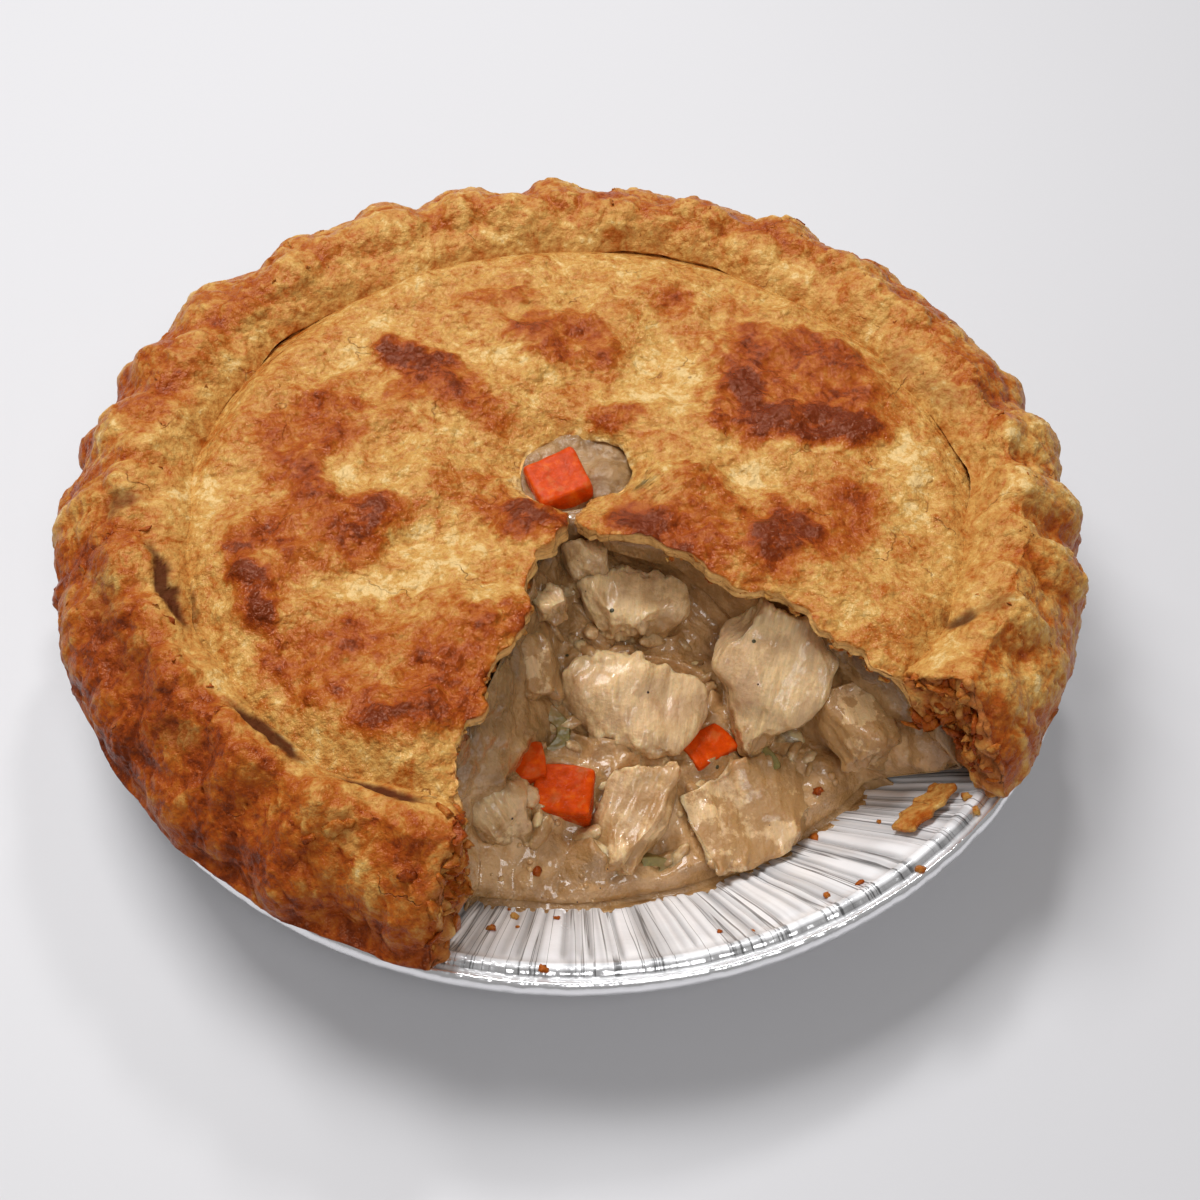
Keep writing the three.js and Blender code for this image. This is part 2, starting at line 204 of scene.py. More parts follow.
# Seeds of the random draws.
FOIL_SEED = 4
TURKEY_SEED = 200
SHRED_SEED = 12
FLAKE_SEED = 31
CRUMB_SEED = 47
SPECK_SEED = 58

# Rays that seat the small things: the way down, the heights above the whole pie and just under the lid
# that they start from, and how many are cast at most.
DOWN = (0, 0, -1)
ABOVE_ALL = 70
UNDER_LID = 42
MOST_RAYS = 20000

# Area lights, in metres and watts: name, place, size, power. Then the even light of the room, the floor's
# size in metres, the camera's sensor in millimetres and how near it still sees, in metres.
LIGHTS = (
    ("softbox", (-0.36, 0.42, 0.95), 0.5, 8.6),
    ("front_fill", (0.25, -0.75, 1.05), 0.45, 3.8),
    ("glint", (0.12, 0.8, 0.9), 0.14, 3.0),
)
ROOM_COLOR = (1.0, 0.98, 0.96, 1)
ROOM_STRENGTH = 0.24
FLOOR_SIZE = 6
SENSOR_WIDTH = 36
NEAREST_SEEN = 0.01


# Settings


def length_setting(name, description, default):
    return FloatProperty(name=name, description=description, default=default, unit="LENGTH")


def color_setting(name, description, default):
    return FloatVectorProperty(name=name, description=description, default=default, subtype="COLOR")


def count_setting(name, description, default):
    return IntProperty(name=name, description=description, default=default)


class TinSettings(bpy.types.PropertyGroup):
    base_radius: length_setting("Base radius", "Radius of the flat base", 0.079)
    mouth_radius: length_setting("Mouth radius", "Radius of the wall at its top", 0.1066)
    rim_radius: length_setting("Rim radius", "Radius over the rolled rim", TIN_BOX[1].x)
    height: length_setting("Height", "Height of the rolled rim", TIN_BOX[1].z)
    foil: length_setting("Foil", "Thickness of the foil", 0.0007)
    flutes: count_setting("Flutes", "Creases round the wall", 190)
    flute_depth: length_setting("Flute depth", "Depth of a crease", 0.00055)
    color: color_setting("Foil colour", "Colour of the metal", (0.97, 0.97, 0.99))


class CrustSettings(bpy.types.PropertyGroup):
    lid_thickness: length_setting("Lid thickness", "Thickness of the lid", 0.0046)
    crimps: count_setting("Crimps", "Crimps round the rim", 30)
    crimp_depth: length_setting("Crimp depth", "Depth of the crimps", 0.0014)
    flakes: count_setting("Flakes", "Flakes along each cut edge, at most", 80)
    rim_flakes: count_setting("Rim flakes", "Flakes on the rim, at most", 150)
    end_crumbs: count_setting("End crumbs", "Crumbs on each broken end of the rim, at most", 70)
    crumbs: count_setting("Crumbs", "Crumbs on the tin and the gravy", 18)
    cream: color_setting("Cream", "Colour of the palest pastry", (0.77, 0.53, 0.225))
    pale: color_setting("Pale", "Colour of pale pastry", (0.64, 0.36, 0.095))
    golden: color_setting("Golden", "Colour of golden pastry", (0.425, 0.112, 0.012))
    brown: color_setting("Brown", "Colour of browned pastry", (0.32, 0.054, 0.005))
    burnt: color_setting("Burnt", "Colour of the darkest pastry", (0.155, 0.022, 0.003))
    dough: color_setting("Dough", "Colour of the pastry inside", (0.9, 0.5, 0.17))


class FillingSettings(bpy.types.PropertyGroup):
    gravy: color_setting("Gravy", "Colour of the gravy", (0.49, 0.263, 0.095))
    turkey: color_setting("Turkey", "Colour of the meat", (0.81, 0.56, 0.285))
    carrot: color_setting("Carrot", "Colour of the carrot", (0.66, 0.062, 0.002))
    celery: color_setting("Celery", "Colour of the celery", (0.2, 0.19, 0.05))
    shreds: count_setting("Shreds", "Shreds of turkey in the gravy", 80)
    specks: count_setting("Specks", "Specks of pepper, with a quarter as many of herb", 16)
    bubbles: count_setting("Bubbles", "Bubbles in the gravy", 70)


class StageSettings(bpy.types.PropertyGroup):
    lens: FloatProperty(name="Lens", description="Focal length", default=51.0, subtype="DISTANCE_CAMERA")
    pitch: FloatProperty(
        name="Pitch",
        description="Camera tilt below the horizon",
        default=math.radians(49.537),
        subtype="ANGLE",
    )
    roll: FloatProperty(name="Roll", description="Camera roll", default=math.radians(0.604), subtype="ANGLE")
    camera: FloatVectorProperty(
        name="Camera",
        description="Camera's place",
        default=(0.00578, -0.2648, 0.31892),
        subtype="TRANSLATION",
    )
    floor: color_setting("Floor", "Colour of the floor", (0.66, 0.655, 0.675))


def mm(length):
    """A setting's length in millimetres."""
    return length * 1000


# Number helpers


def ease(low, high, value):
    """A smooth step from 0 at low to 1 at high, which may be the smaller of the two."""
    part = np.clip((value - low) / (high - low), 0, 1)
    return part * part * (3 - 2 * part)


def curve(points, count):
    """A Bezier curve over its control points, as count places."""
    share = np.linspace(0, 1, count)[:, None]
    layer = [np.array(point, float) for point in points]
    while len(layer) > 1:
        layer = [a * (1 - share) + b * share for a, b in zip(layer, layer[1:])]
    return layer[0]


def spaced(line, count):
    """Places at even steps along a line."""
    line = np.array(line, float)
    travelled = np.concatenate([[0], np.cumsum(np.linalg.norm(np.diff(line, axis=0), axis=1))])
    steps = np.linspace(0, travelled[-1], count)
    return np.stack([np.interp(steps, travelled, line[:, axis]) for axis in range(line.shape[1])], axis=1)


def at_share(line, share):
    """The places, in two numbers, at each share of the way along a line whose stretches count alike."""
    line = np.array(line, float)
    knots = np.linspace(0, 1, len(line))
    return np.stack([np.interp(share, knots, line[:, axis]) for axis in range(2)], axis=-1)


def polar(radius, angle, height):
    """Places from their radius, angle and height."""
    return np.column_stack([radius * np.cos(angle), radius * np.sin(angle), height])


def radius_of(points):
    """How far points are from the tin's axis."""
    return np.hypot(points[:, 0], points[:, 1])


def scattered(cells, seed):
    """One number from 0 to 1 for each whole-number cell."""
    cells = cells.astype(np.int64)
    code = (cells[:, 0] * 73856093) ^ (cells[:, 1] * 19349663) ^ (cells[:, 2] * 83492791)
    code = (code ^ (seed * 39916801)) & 0xFFFFFFFF
    code = ((code ^ (code >> 13)) * 1274126177) & 0xFFFFFFFF
    code = ((code ^ (code >> 16)) * 668265263) & 0xFFFFFFFF
    return ((code ^ (code >> 15)) & 0xFFFF) / 65535


def rough(points, size, seed, octaves=1):
    """Smooth random relief from about -1 to 1, with bumps of a size or of three sizes along X, Y, Z."""
    total = np.zeros(len(points))
    weight = 0
    for octave in range(octaves):
        share = 0.5**octave
        places = points / np.array(size) * 2**octave
        base = np.floor(places)
        part = places - base
        part = part * part * (3 - 2 * part)
        layer = np.zeros(len(points))
        for corner in np.ndindex(2, 2, 2):
            near = np.prod(np.where(corner, part, 1 - part), axis=1)
            layer += near * scattered(base + corner, seed + 7 * octave)
        total += share * (2 * layer - 1)
        weight += share
    return total / weight


def sideways(points, size, seed, octaves):
    """Smooth random shifts along X and Y, from about -1 to 1."""
    shifts = [rough(points, size, seed + axis, octaves) for axis in range(2)]
    return np.column_stack([*shifts, np.zeros(len(points))])


def blisters(points, size, seed):
    """Rounded bubbles of uneven height on a plane, from 0 to 1."""
    cells = np.floor(points[:, :2] / size)
    height = np.zeros(len(points))
    for dx in (-1, 0, 1):
        for dy in (-1, 0, 1):
            cell = np.column_stack([cells + (dx, dy), np.zeros(len(points))])
            middle = cell[:, :2] + np.column_stack([scattered(cell, seed), scattered(cell, seed + 1)])
            reach = np.linalg.norm(points[:, :2] / size - middle, axis=1)
            bubble = scattered(cell, seed + 2) * np.clip(1 - (reach / 0.62) ** 2, 0, 1)
            height = np.maximum(height, bubble)
    return height


def cobbles(points, size, seed):
    """Rounded lumps packed close together, from 0 in the gaps between them to 1."""
    spots = points / np.array(size)
    base = np.floor(spots)
    nearest = np.full(len(points), 4.0)
    for offset in np.ndindex(3, 3, 3):
        cell = base + np.array(offset) - 1
        jitter = np.column_stack([scattered(cell, seed + axis) for axis in range(3)])
        nearest = np.minimum(nearest, ((spots - cell - jitter) ** 2).sum(axis=1))
    return np.clip(1 - nearest / 0.55, 0, 1)


def patchwork(points, patches):
    """How strongly the patches cover each point, added up."""
    total = np.zeros(len(points))
    for x, y, length, width, turn, strength in patches:
        bearing = math.radians(turn)
        dx, dy = points[:, 0] - x, points[:, 1] - y
        out = (dx * math.cos(bearing) + dy * math.sin(bearing)) / length
        side = (dy * math.cos(bearing) - dx * math.sin(bearing)) / width
        total += strength * (1 - ease(0.55, 1.55, np.hypot(out, side)))
    return total


# Mesh helpers


def deselect():
    bpy.ops.object.select_all(action="DESELECT")


def take(piece):
    deselect()
    piece.select_set(True)
    bpy.context.view_layer.objects.active = piece


def edit(piece):
    take(piece)
    bpy.ops.object.mode_set(mode="EDIT")
    bpy.ops.mesh.select_mode(type="VERT")
    bpy.ops.mesh.select_all(action="SELECT")


def leave_edit():
    bpy.ops.object.mode_set(mode="OBJECT")


def named(name):
    piece = bpy.context.object
    piece.name = name
    piece.data.name = name
    return piece


def places(piece):
    """The piece's vertices, in millimetres."""
    flat = np.empty(len(piece.data.vertices) * 3, np.float32)
    piece.data.vertices.foreach_get("co", flat)
    return flat.reshape(-1, 3).astype(float) / MM


def put(piece, points):
    piece.data.vertices.foreach_set("co", (points * MM).astype(np.float32).ravel())
    piece.data.update()


def normals(piece):
    flat = np.empty(len(piece.data.vertices) * 3, np.float32)
    piece.data.vertex_normals.foreach_get("vector", flat)
    return flat.reshape(-1, 3).astype(float)


def note(piece, name, values):
    """Keeps one number for each vertex, for a material to read."""
    layer = piece.data.attributes.new(name, "FLOAT", "POINT")
    layer.data.foreach_set("value", np.asarray(values, np.float32))


def note_grain(piece, points):
    """Keeps a piece's own coordinates, so that its grain turns with it."""
    layer = piece.data.attributes.new("grain", "FLOAT_VECTOR", "POINT")
    layer.data.foreach_set("vector", (points * MM).astype(np.float32).ravel())


def grid_piece(name, rows, columns, place):
    """A grid with each vertex where place(row share, column share) says."""
    deselect()
    bpy.ops.mesh.primitive_grid_add(x_subdivisions=rows, y_subdivisions=columns, size=1)
    piece = named(name)
    flat = places(piece) * MM
    put(piece, place(flat[:, 0] + 0.5, flat[:, 1] + 0.5))
    return piece


def close_seams(piece):
    """Joins vertices that meet and turns all faces outwards."""
    edit(piece)
    bpy.ops.mesh.remove_doubles(threshold=0.01 * MM)
    bpy.ops.mesh.dissolve_degenerate(threshold=0.002 * MM)
    bpy.ops.mesh.normals_make_consistent(inside=False)
    leave_edit()


def face_up(piece):
    """Turns a piece the right way out, where most of its vertices lie on its upper side."""
    if normals(piece)[:, 2].mean() < 0:
        edit(piece)
        bpy.ops.mesh.flip_normals()
        leave_edit()


def apply_modifier(piece, kind, **settings):
    take(piece)
    modifier = piece.modifiers.new(kind.title(), kind)
    for key, value in settings.items():
        setattr(modifier, key, value)
    bpy.ops.object.modifier_apply(modifier=modifier.name)


def edge_ends(piece):
    ends = np.empty(len(piece.data.edges) * 2, np.int32)
    piece.data.edges.foreach_get("vertices", ends)
    return ends.reshape(-1, 2)


def edit_edges(piece, chosen):
    """Starts to edit a piece with only the chosen edges selected."""
    edit(piece)
    bpy.ops.mesh.select_mode(type="EDGE")
    bpy.ops.mesh.select_all(action="DESELECT")
    leave_edit()
    piece.data.edges.foreach_set("select", chosen)
    bpy.ops.object.mode_set(mode="EDIT")


def subdivide_walls(piece, cuts):
    """Cuts the upright edges of a thickened sheet, whose second half of vertices lies under the first."""
    ends = edge_ends(piece)
    edit_edges(piece, np.abs(ends[:, 0] - ends[:, 1]) == len(piece.data.vertices) // 2)
    bpy.ops.mesh.subdivide(number_cuts=cuts)
    leave_edit()


def spun(name, section, steps):
    """A section of (radius, height) places turned about +Z."""
    deselect()
    bpy.ops.mesh.primitive_circle_add(vertices=len(section), radius=1, fill_type="NOTHING")
    piece = named(name)
    put(piece, np.column_stack([section[:, 0], np.zeros(len(section)), section[:, 1]]))
    ends = edge_ends(piece)
    edit_edges(piece, np.abs(ends[:, 0] - ends[:, 1]) == len(section) - 1)
    bpy.ops.mesh.delete(type="EDGE")
    leave_edit()
    apply_modifier(piece, "SCREW", axis="Z", steps=steps, render_steps=steps, use_merge_vertices=True)
    close_seams(piece)
    return piece


def joined(name, parts):
    """One mesh of many small closed parts, each a pair of vertices in millimetres and faces."""
    vertices, faces, count = [], [], 0
    for points, polygons in parts:
        vertices.append(points)
        faces += [[corner + count for corner in polygon] for polygon in polygons]
        count += len(points)
    mesh = bpy.data.meshes.new(name)
    mesh.from_pydata((np.concatenate(vertices) * MM).tolist(), [], faces)
    piece = bpy.data.objects.new(name, mesh)
    bpy.context.collection.objects.link(piece)
    return piece


def slab(grid, thickness):
    """A thin closed slab over a grid of places, thickened along one direction."""
    rows, columns = grid.shape[:2]
    top = grid.reshape(-1, 3)
    count = len(top)
    index = np.arange(count).reshape(rows, columns)
    faces = []
    for i in range(rows - 1):
        for j in range(columns - 1):
            quad = [index[i, j], index[i + 1, j], index[i + 1, j + 1], index[i, j + 1]]
            faces.append(quad)
            faces.append([corner + count for corner in reversed(quad)])
    border = [*index[0, :-1], *index[:-1, -1], *index[-1, :0:-1], *index[:0:-1, 0]]
    for a, b in zip(border, border[1:] + border[:1]):
        faces.append([a, b, b + count, a + count])
    return np.concatenate([top, top - thickness]), faces


def ball(detail):
    """A round of triangles with radius 1, as vertices and faces."""
    deselect()
    bpy.ops.mesh.primitive_ico_sphere_add(subdivisions=detail, radius=1)
    piece = bpy.context.object
    points = places(piece) * MM
    faces = [list(face.vertices) for face in piece.data.polygons]
    bpy.ops.object.delete()
    return points, faces


def surface(start, ahead, pieces):
    """Where a line first meets one of the pieces named: the place in millimetres, and the way it faces."""
    depsgraph = bpy.context.evaluated_depsgraph_get()
    ahead = Vector(ahead).normalized()
    start = Vector(start) * MM
    for _ in range(40):
        hit, at, facing, _, piece, _ = bpy.context.scene.ray_cast(depsgraph, start, ahead)
        if not hit:
            return None
        if piece.name.startswith(pieces):
            return np.array(at) / MM, np.array(facing)
        start = at + ahead * 0.01 * MM
    return None


def seats(count, start, pieces, highest=math.inf):
    """Places on the pieces named, and the way they face there, straight below starts drawn at random."""
    found, rays = 0, 0
    while found < count:
        rays += 1
        if rays > MOST_RAYS:
            raise RuntimeError(f"too few places on {pieces}")
        hit = surface(start(), DOWN, pieces)
        if hit is None or hit[0][2] > highest:
            continue
        found += 1
        yield hit


def leaning(facing, rng):
    """Three directions with the last along facing and the first turned at random about it."""
    side = np.cross(facing, rng.normal(size=3))
    side /= np.linalg.norm(side)
    return np.column_stack([side, np.cross(facing, side), facing])


def turning(turn):
    """The matrix that turns about X, Y and Z by degrees."""
    return np.array(Euler([math.radians(angle) for angle in turn], "XYZ").to_matrix())


def seat(points, at, turn):
    """Turns points about X, Y and Z by degrees and moves them to their place."""
    return points @ turning(turn).T + np.array(at)


def finish(piece, material, slot, *nodes):
    """Gives a piece its material and its body, and hides the nodes that it replaces. The slot is not used."""
    take(piece)
    bpy.ops.object.shade_smooth()
    piece.data.materials.clear()
    piece.data.materials.append(material)
    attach(piece, "root")
    if nodes:
        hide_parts(*nodes)


# Materials


class Finish:
    """A material in the making: its shader and the nodes that feed it."""

    def __init__(self, name):
        self.material = bpy.data.materials.new(name)
        self.material.use_nodes = True
        self.tree = self.material.node_tree
        self.shader = self.tree.nodes["Principled BSDF"]
        self.place = self.node("ShaderNodeTexCoord").outputs["Object"]

    def node(self, kind, **settings):
        made = self.tree.nodes.new(kind)
        for key, value in settings.items():
            setattr(made, key, value)
        return made

    def feed(self, target, value):
        if isinstance(value, bpy.types.NodeSocket):
            self.tree.links.new(value, target)
        else:
            target.default_value = (*value, 1) if hasattr(value, "__len__") and len(value) == 3 else value

    def set(self, **values):
        for key, value in values.items():
            self.feed(self.shader.inputs[key.replace("_", " ")], value)

    def attribute(self, name):
        return self.node("ShaderNodeAttribute", attribute_name=name).outputs["Fac"]

    def follow_grain(self):
        """Patterns follow the piece's own coordinates from here on."""
        self.place = self.node("ShaderNodeAttribute", attribute_name="grain").outputs["Vector"]

    def stretched(self, sizes):
        """Coordinates measured in three lengths, in millimetres."""
        mapping = self.node("ShaderNodeMapping")
        mapping.inputs["Scale"].default_value = [1 / (size * MM) for size in sizes]
        self.feed(mapping.inputs["Vector"], self.place)
        return mapping.outputs["Vector"]

    def noise(self, size, detail=4, roughness=0.55, distortion=0):
        made = self.node("ShaderNodeTexNoise")
        if isinstance(size, tuple):
            self.feed(made.inputs["Vector"], self.stretched(size))
            made.inputs["Scale"].default_value = 1
        else:
            self.feed(made.inputs["Vector"], self.place)
            made.inputs["Scale"].default_value = 1 / (size * MM)
        made.inputs["Detail"].default_value = detail
        made.inputs["Roughness"].default_value = roughness
        made.inputs["Distortion"].default_value = distortion
        return made.outputs["Fac"]

    def cells(self, size):
        made = self.node("ShaderNodeTexVoronoi")
        self.feed(made.inputs["Vector"], self.place)
        made.inputs["Scale"].default_value = 1 / (size * MM)
        return made.outputs["Distance"]

    def math(self, operation, first, second):
        made = self.node("ShaderNodeMath", operation=operation)
        self.feed(made.inputs[0], first)
        self.feed(made.inputs[1], second)
        return made.outputs[0]

    def off_middle(self, pattern):
        """How far a pattern is from its middle: near 0 along thin winding lines."""
        return self.math("ABSOLUTE", self.math("SUBTRACT", pattern, 0.5), 0)

    def remap(self, value, low, high, start, end):
        made = self.node("ShaderNodeMapRange")
        amounts = {"Value": value, "From Min": low, "From Max": high, "To Min": start, "To Max": end}
        for key, amount in amounts.items():
            self.feed(made.inputs[key], amount)
        return made.outputs["Result"]

    def ramp(self, factor, stops):
        made = self.node("ShaderNodeValToRGB")
        elements = made.color_ramp.elements
        while len(elements) < len(stops):
            elements.new(1)
        for element, (position, color) in zip(elements, stops):
            element.position = position
            element.color = (*color, 1)
        self.feed(made.inputs["Fac"], factor)
        return made.outputs["Color"]

    def mix(self, factor, first, second):
        made = self.node("ShaderNodeMix", data_type="RGBA")
        self.feed(made.inputs["Factor"], factor)
        self.feed(made.inputs[6], first)
        self.feed(made.inputs[7], second)
        return made.outputs[2]

    def bump(self, height, depth, under=None):
        """A bump whose full height is depth millimetres."""
        made = self.node("ShaderNodeBump")
        made.inputs["Strength"].default_value = 1
        made.inputs["Distance"].default_value = depth * MM
        self.feed(made.inputs["Height"], height)
        if under is not None:
            self.feed(made.inputs["Normal"], under)
        return made.outputs["Normal"]

    def soften(self, weight, depth, colors):
        """Lets light into the material by depth millimetres, with a share of it for each colour."""
        self.set(Subsurface_Weight=weight, Subsurface_Scale=depth * MM)
        self.shader.inputs["Subsurface Radius"].default_value = colors


def shade(color, factor):
    return [min(1, channel * factor) for channel in color]


def foil_finish():
    """Bright foil with painted shade on its wall: greyed facets stand in for dark reflections, and dark lines
    along its creases and in thin streaks stand in for the shade in its crinkles.
    """
    tin = bpy.context.scene.pie_tin
    made = Finish("foil")
    smear = made.noise(14, 3)
    crinkles = made.noise(5, 4)
    made.follow_grain()
    streak = made.noise(2.4, 2, 0.6)
    # Painted reflection: random facets of the wall are greyed, as if they mirrored the darker room.
    facet_shade = made.remap(made.noise(3.5, 2), 0.5, 0.68, 0, 0.8)
    panel = made.mix(made.math("MULTIPLY", made.attribute("wall"), facet_shade), tin.color, shade(tin.color, 0.5))
    off = made.off_middle(streak)
    # Painted shade: thin dark streaks down the wall.
    dark = made.math("MULTIPLY", made.attribute("wall"), made.remap(off, 0.003, 0.022, 0.85, 0))
    # Painted shade along the creases and the groove under the roll.
    line = made.math("MAXIMUM", made.math("MULTIPLY", made.attribute("crease"), 0.6), dark)
    made.set(Base_Color=made.mix(line, panel, shade(tin.color, 0.12)))
    made.set(Metallic=made.remap(made.attribute("rolled"), 0, 1, 0.06, 0.85))
    made.set(Roughness=made.remap(smear, 0.3, 0.75, 0.14, 0.3))
    made.set(Normal=made.bump(crinkles, 0.14, made.bump(streak, 0.3)))
    return made.material


def crust_finish(name, roughness, texture):
    """Baked pastry, from cream to burnt by the vertex number brown, with dough where cut is high, painted
    shade along thin cracks, and a scorched dark where burn is, which is also painted shade inside the rim's
    slits."""
    crust = bpy.context.scene.pie_crust
    made = Finish(name)
    wide = made.remap(made.noise(8, 8, 0.7, 1.2), 0.25, 0.75, -0.33, 0.33)
    fine = made.remap(made.noise(1.8, 6, 0.72), 0.25, 0.75, -0.24, 0.24)
    tone = made.math("ADD", made.math("ADD", made.attribute("brown"), wide), fine)
    # Painted shade: thin cracks in flaky places are filled with the burnt colour, for the shade inside them.
    off = made.off_middle(made.noise(20, 4, 0.5))
    flaky = made.remap(made.noise(14, 2), 0.56, 0.64, 0, 0.55)
    crack = made.math("MULTIPLY", made.remap(off, 0.0, 0.006, 1, 0), flaky)
    straw = [(a + b) / 2 for a, b in zip(crust.pale, crust.golden)]
    steps = (0.0, 0.13, 0.32, 0.52, 0.77, 1)
    colors = (crust.cream, crust.pale, straw, crust.golden, crust.brown, crust.burnt)
    baked = made.ramp(made.math("ADD", tone, 0.09), tuple(zip(steps, colors)))
    freckles = made.remap(made.cells(1.4), 0.0, 0.3, 0.4, 0.0)
    spotted = made.mix(made.math("MULTIPLY", freckles, made.attribute("brown")), baked, crust.brown)
    layers = made.noise((4, 4, 0.6), 4, 0.6)
    dark, light = shade(crust.dough, 0.66), shade(crust.dough, 1.25)
    inside = made.ramp(layers, ((0.32, dark), (0.5, crust.dough), (0.68, light)))
    color = made.mix(made.attribute("cut"), made.mix(crack, spotted, crust.burnt), inside)
    # The slits' dark colour is painted shade inside them; the spots are scorched pastry.
    made.set(Base_Color=made.mix(made.attribute("burn"), color, shade(crust.burnt, 0.4)))
    dull = made.remap(tone, 0.15, 0.75, roughness + 0.12, roughness)
    uneven = made.math("ADD", dull, made.remap(made.noise(2.5), 0.3, 0.7, -0.06, 0.1))
    made.set(Roughness=made.math("ADD", uneven, made.math("MULTIPLY", made.attribute("burn"), 0.4)))
    made.set(Specular_IOR_Level=0.3, Specular_Tint=(1.0, 0.6, 0.4))
    grain = made.bump(made.noise(0.8, 3, 0.55), 0.1 * texture)
    crisp = made.bump(made.remap(made.cells(1.8), 0, 0.7, 1, 0), 0.22 * texture, grain)
    split = made.bump(crack, -0.3, crisp)
    made.set(Normal=made.bump(made.noise(3.4, 4, 0.56), 1.7 * texture, split))
    return made.material


def gravy_finish(name, strength, wet):
    """Thick gravy, clouded, with lighter grains painted as glints, and with painted shade where the vertex
    number deep is high, up under the lid.
    """
    filling = bpy.context.scene.pie_filling
    made = Finish(name)
    gravy = shade(filling.gravy, strength)
    cloud = made.noise(9, 6, 0.62)
    light = [channel * gain for channel, gain in zip(gravy, (1.45, 1.6, 1.9))]
    color = made.ramp(cloud, ((0.32, shade(gravy, 0.7)), (0.48, gravy), (0.64, light)))
    # Painted highlight: tiny lighter grains stand in for glints on the gravy.
    grains = made.remap(made.cells(1.2), 0.0, 0.28, 0.4, 0.0)
    grained = made.mix(grains, color, shade(gravy, 1.6))
    # Painted shade: the gravy is darker high up under the lid.
    painted_shade = made.math("MULTIPLY", made.attribute("deep"), 0.6)
    made.set(Base_Color=made.mix(painted_shade, grained, shade(gravy, 0.4)))
    made.set(Roughness=made.remap(made.noise(2.5), 0.3, 0.7, 0.12, 0.32), Specular_IOR_Level=0.5)
    made.set(Coat_Weight=wet, Coat_Roughness=0.08)
    made.soften(0.25, 2, (1.0, 0.6, 0.35))
    made.set(Normal=made.bump(made.noise(0.8, 4, 0.6), 0.35, made.bump(made.noise(2.6, 5), 0.8)))
    return made.material


def turkey_finish():
    """Cooked meat: pale fibres, with gravy where the vertex number coat is high."""
    filling = bpy.context.scene.pie_filling
    made = Finish("turkey_meat")
    made.follow_grain()
    fibres = made.noise((0.7, 6, 0.7), 4, 0.6)
    dark, light = shade(filling.turkey, 0.86), shade(filling.turkey, 1.2)
    meat = made.ramp(fibres, ((0.3, dark), (0.5, filling.turkey), (0.7, light)))
    blush = made.mix(made.remap(made.noise(9, 4), 0.45, 0.7, 0, 0.6), meat, (0.55, 0.31, 0.18))
    cover = made.remap(made.noise(7, 6, 0.65), 0.44, 0.54, 0.1, 1.3)
    coat = made.math("MINIMUM", made.math("MULTIPLY", made.attribute("coat"), cover), 0.95)
    made.set(Base_Color=made.mix(coat, blush, shade(filling.gravy, 0.95)))
    made.set(Roughness=made.remap(made.noise(2.2), 0.3, 0.7, 0.22, 0.45), Specular_IOR_Level=0.4)
    made.set(Coat_Weight=0.5, Coat_Roughness=0.12)
    made.soften(0.5, 3, (1.0, 0.6, 0.36))
    made.set(Normal=made.bump(fibres, 0.14, made.bump(made.noise(1.3, 5, 0.62), 0.5)))
    return made.material


def carrot_finish():
    """Wet carrot with rings along its length, and gravy where the vertex number coat is high."""
    filling = bpy.context.scene.pie_filling
    made = Finish("carrot_flesh")
    made.follow_grain()
    rings = made.noise((2.2, 2.2, 6), 4)
    dark, light = shade(filling.carrot, 0.75), (0.78, 0.12, 0.004)
    flesh = made.ramp(rings, ((0.3, dark), (0.55, filling.carrot), (0.75, light)))
    coat = made.math("MULTIPLY", made.attribute("coat"), made.remap(made.noise(3, 5), 0.53, 0.66, 0.0, 0.45))
    made.set(Base_Color=made.mix(coat, flesh, (0.6, 0.24, 0.06)))
    made.set(Roughness=made.remap(made.noise(2), 0.3, 0.7, 0.12, 0.4), Specular_IOR_Level=0.08)
    made.soften(0.05, 2, (1.0, 0.3, 0.08))
    made.set(Normal=made.bump(made.noise(1.1, 4), 0.25))
    return made.material


def celery_finish():
    """Wet celery with ribs along its length, and gravy where the vertex number coat is high."""
    filling = bpy.context.scene.pie_filling
    made = Finish("celery_flesh")
    made.follow_grain()
    ribs = made.noise((1.2, 1.2, 8), 3)
    dark, light = shade(filling.celery, 0.7), shade(filling.celery, 1.6)
    flesh = made.ramp(ribs, ((0.3, dark), (0.6, filling.celery), (0.8, light)))
    coat = made.math("MULTIPLY", made.attribute("coat"), made.remap(made.noise(4), 0.35, 0.65, 0.45, 0.95))
    made.set(Base_Color=made.mix(coat, flesh, filling.gravy))
    made.set(Roughness=0.25, Subsurface_Weight=0.3, Subsurface_Scale=0.003, Specular_IOR_Level=0.4)
    made.set(Normal=made.bump(ribs, 0.2))
    return made.material


def speck_finish(name, color, roughness):
    made = Finish(name)
    tint = made.noise(1.5, 3)
    made.set(Base_Color=made.ramp(tint, ((0.3, shade(color, 0.6)), (0.7, shade(color, 1.3)))))
    made.set(Roughness=roughness)
    made.set(Normal=made.bump(made.noise(0.6, 3), 0.08))
    return made.material


def floor_finish():
    made = Finish("floor")
    cloud = made.noise(400, 2)
    color = bpy.context.scene.pie_stage.floor
    made.set(Base_Color=made.ramp(cloud, ((0.3, shade(color, 0.985)), (0.7, color))), Roughness=0.5)
    return made.material


# The tin's forms


def wall_height(radius):
    """Height of the tin's inner face at a radius."""
    return WALL_FOOT[1] + (radius - WALL_FOOT[0]) * WALL_CLIMB / WALL_LEAN


def wall_reach(height):
    """Radius that a piece in the tin can have at a height."""
    return FILLING_FOOT[0] + (height - FILLING_FOOT[1]) * FILLING_LEAN / FILLING_CLIMB


def inside_tin(points):
    """Keeps points off the tin's base and wall."""
    points[:, 2] = np.maximum(points[:, 2], 1.1)
    radius = radius_of(points)
    points[:, :2] *= np.minimum(1, wall_reach(points[:, 2]) / np.maximum(radius, 1e-6))[:, None]
    return points


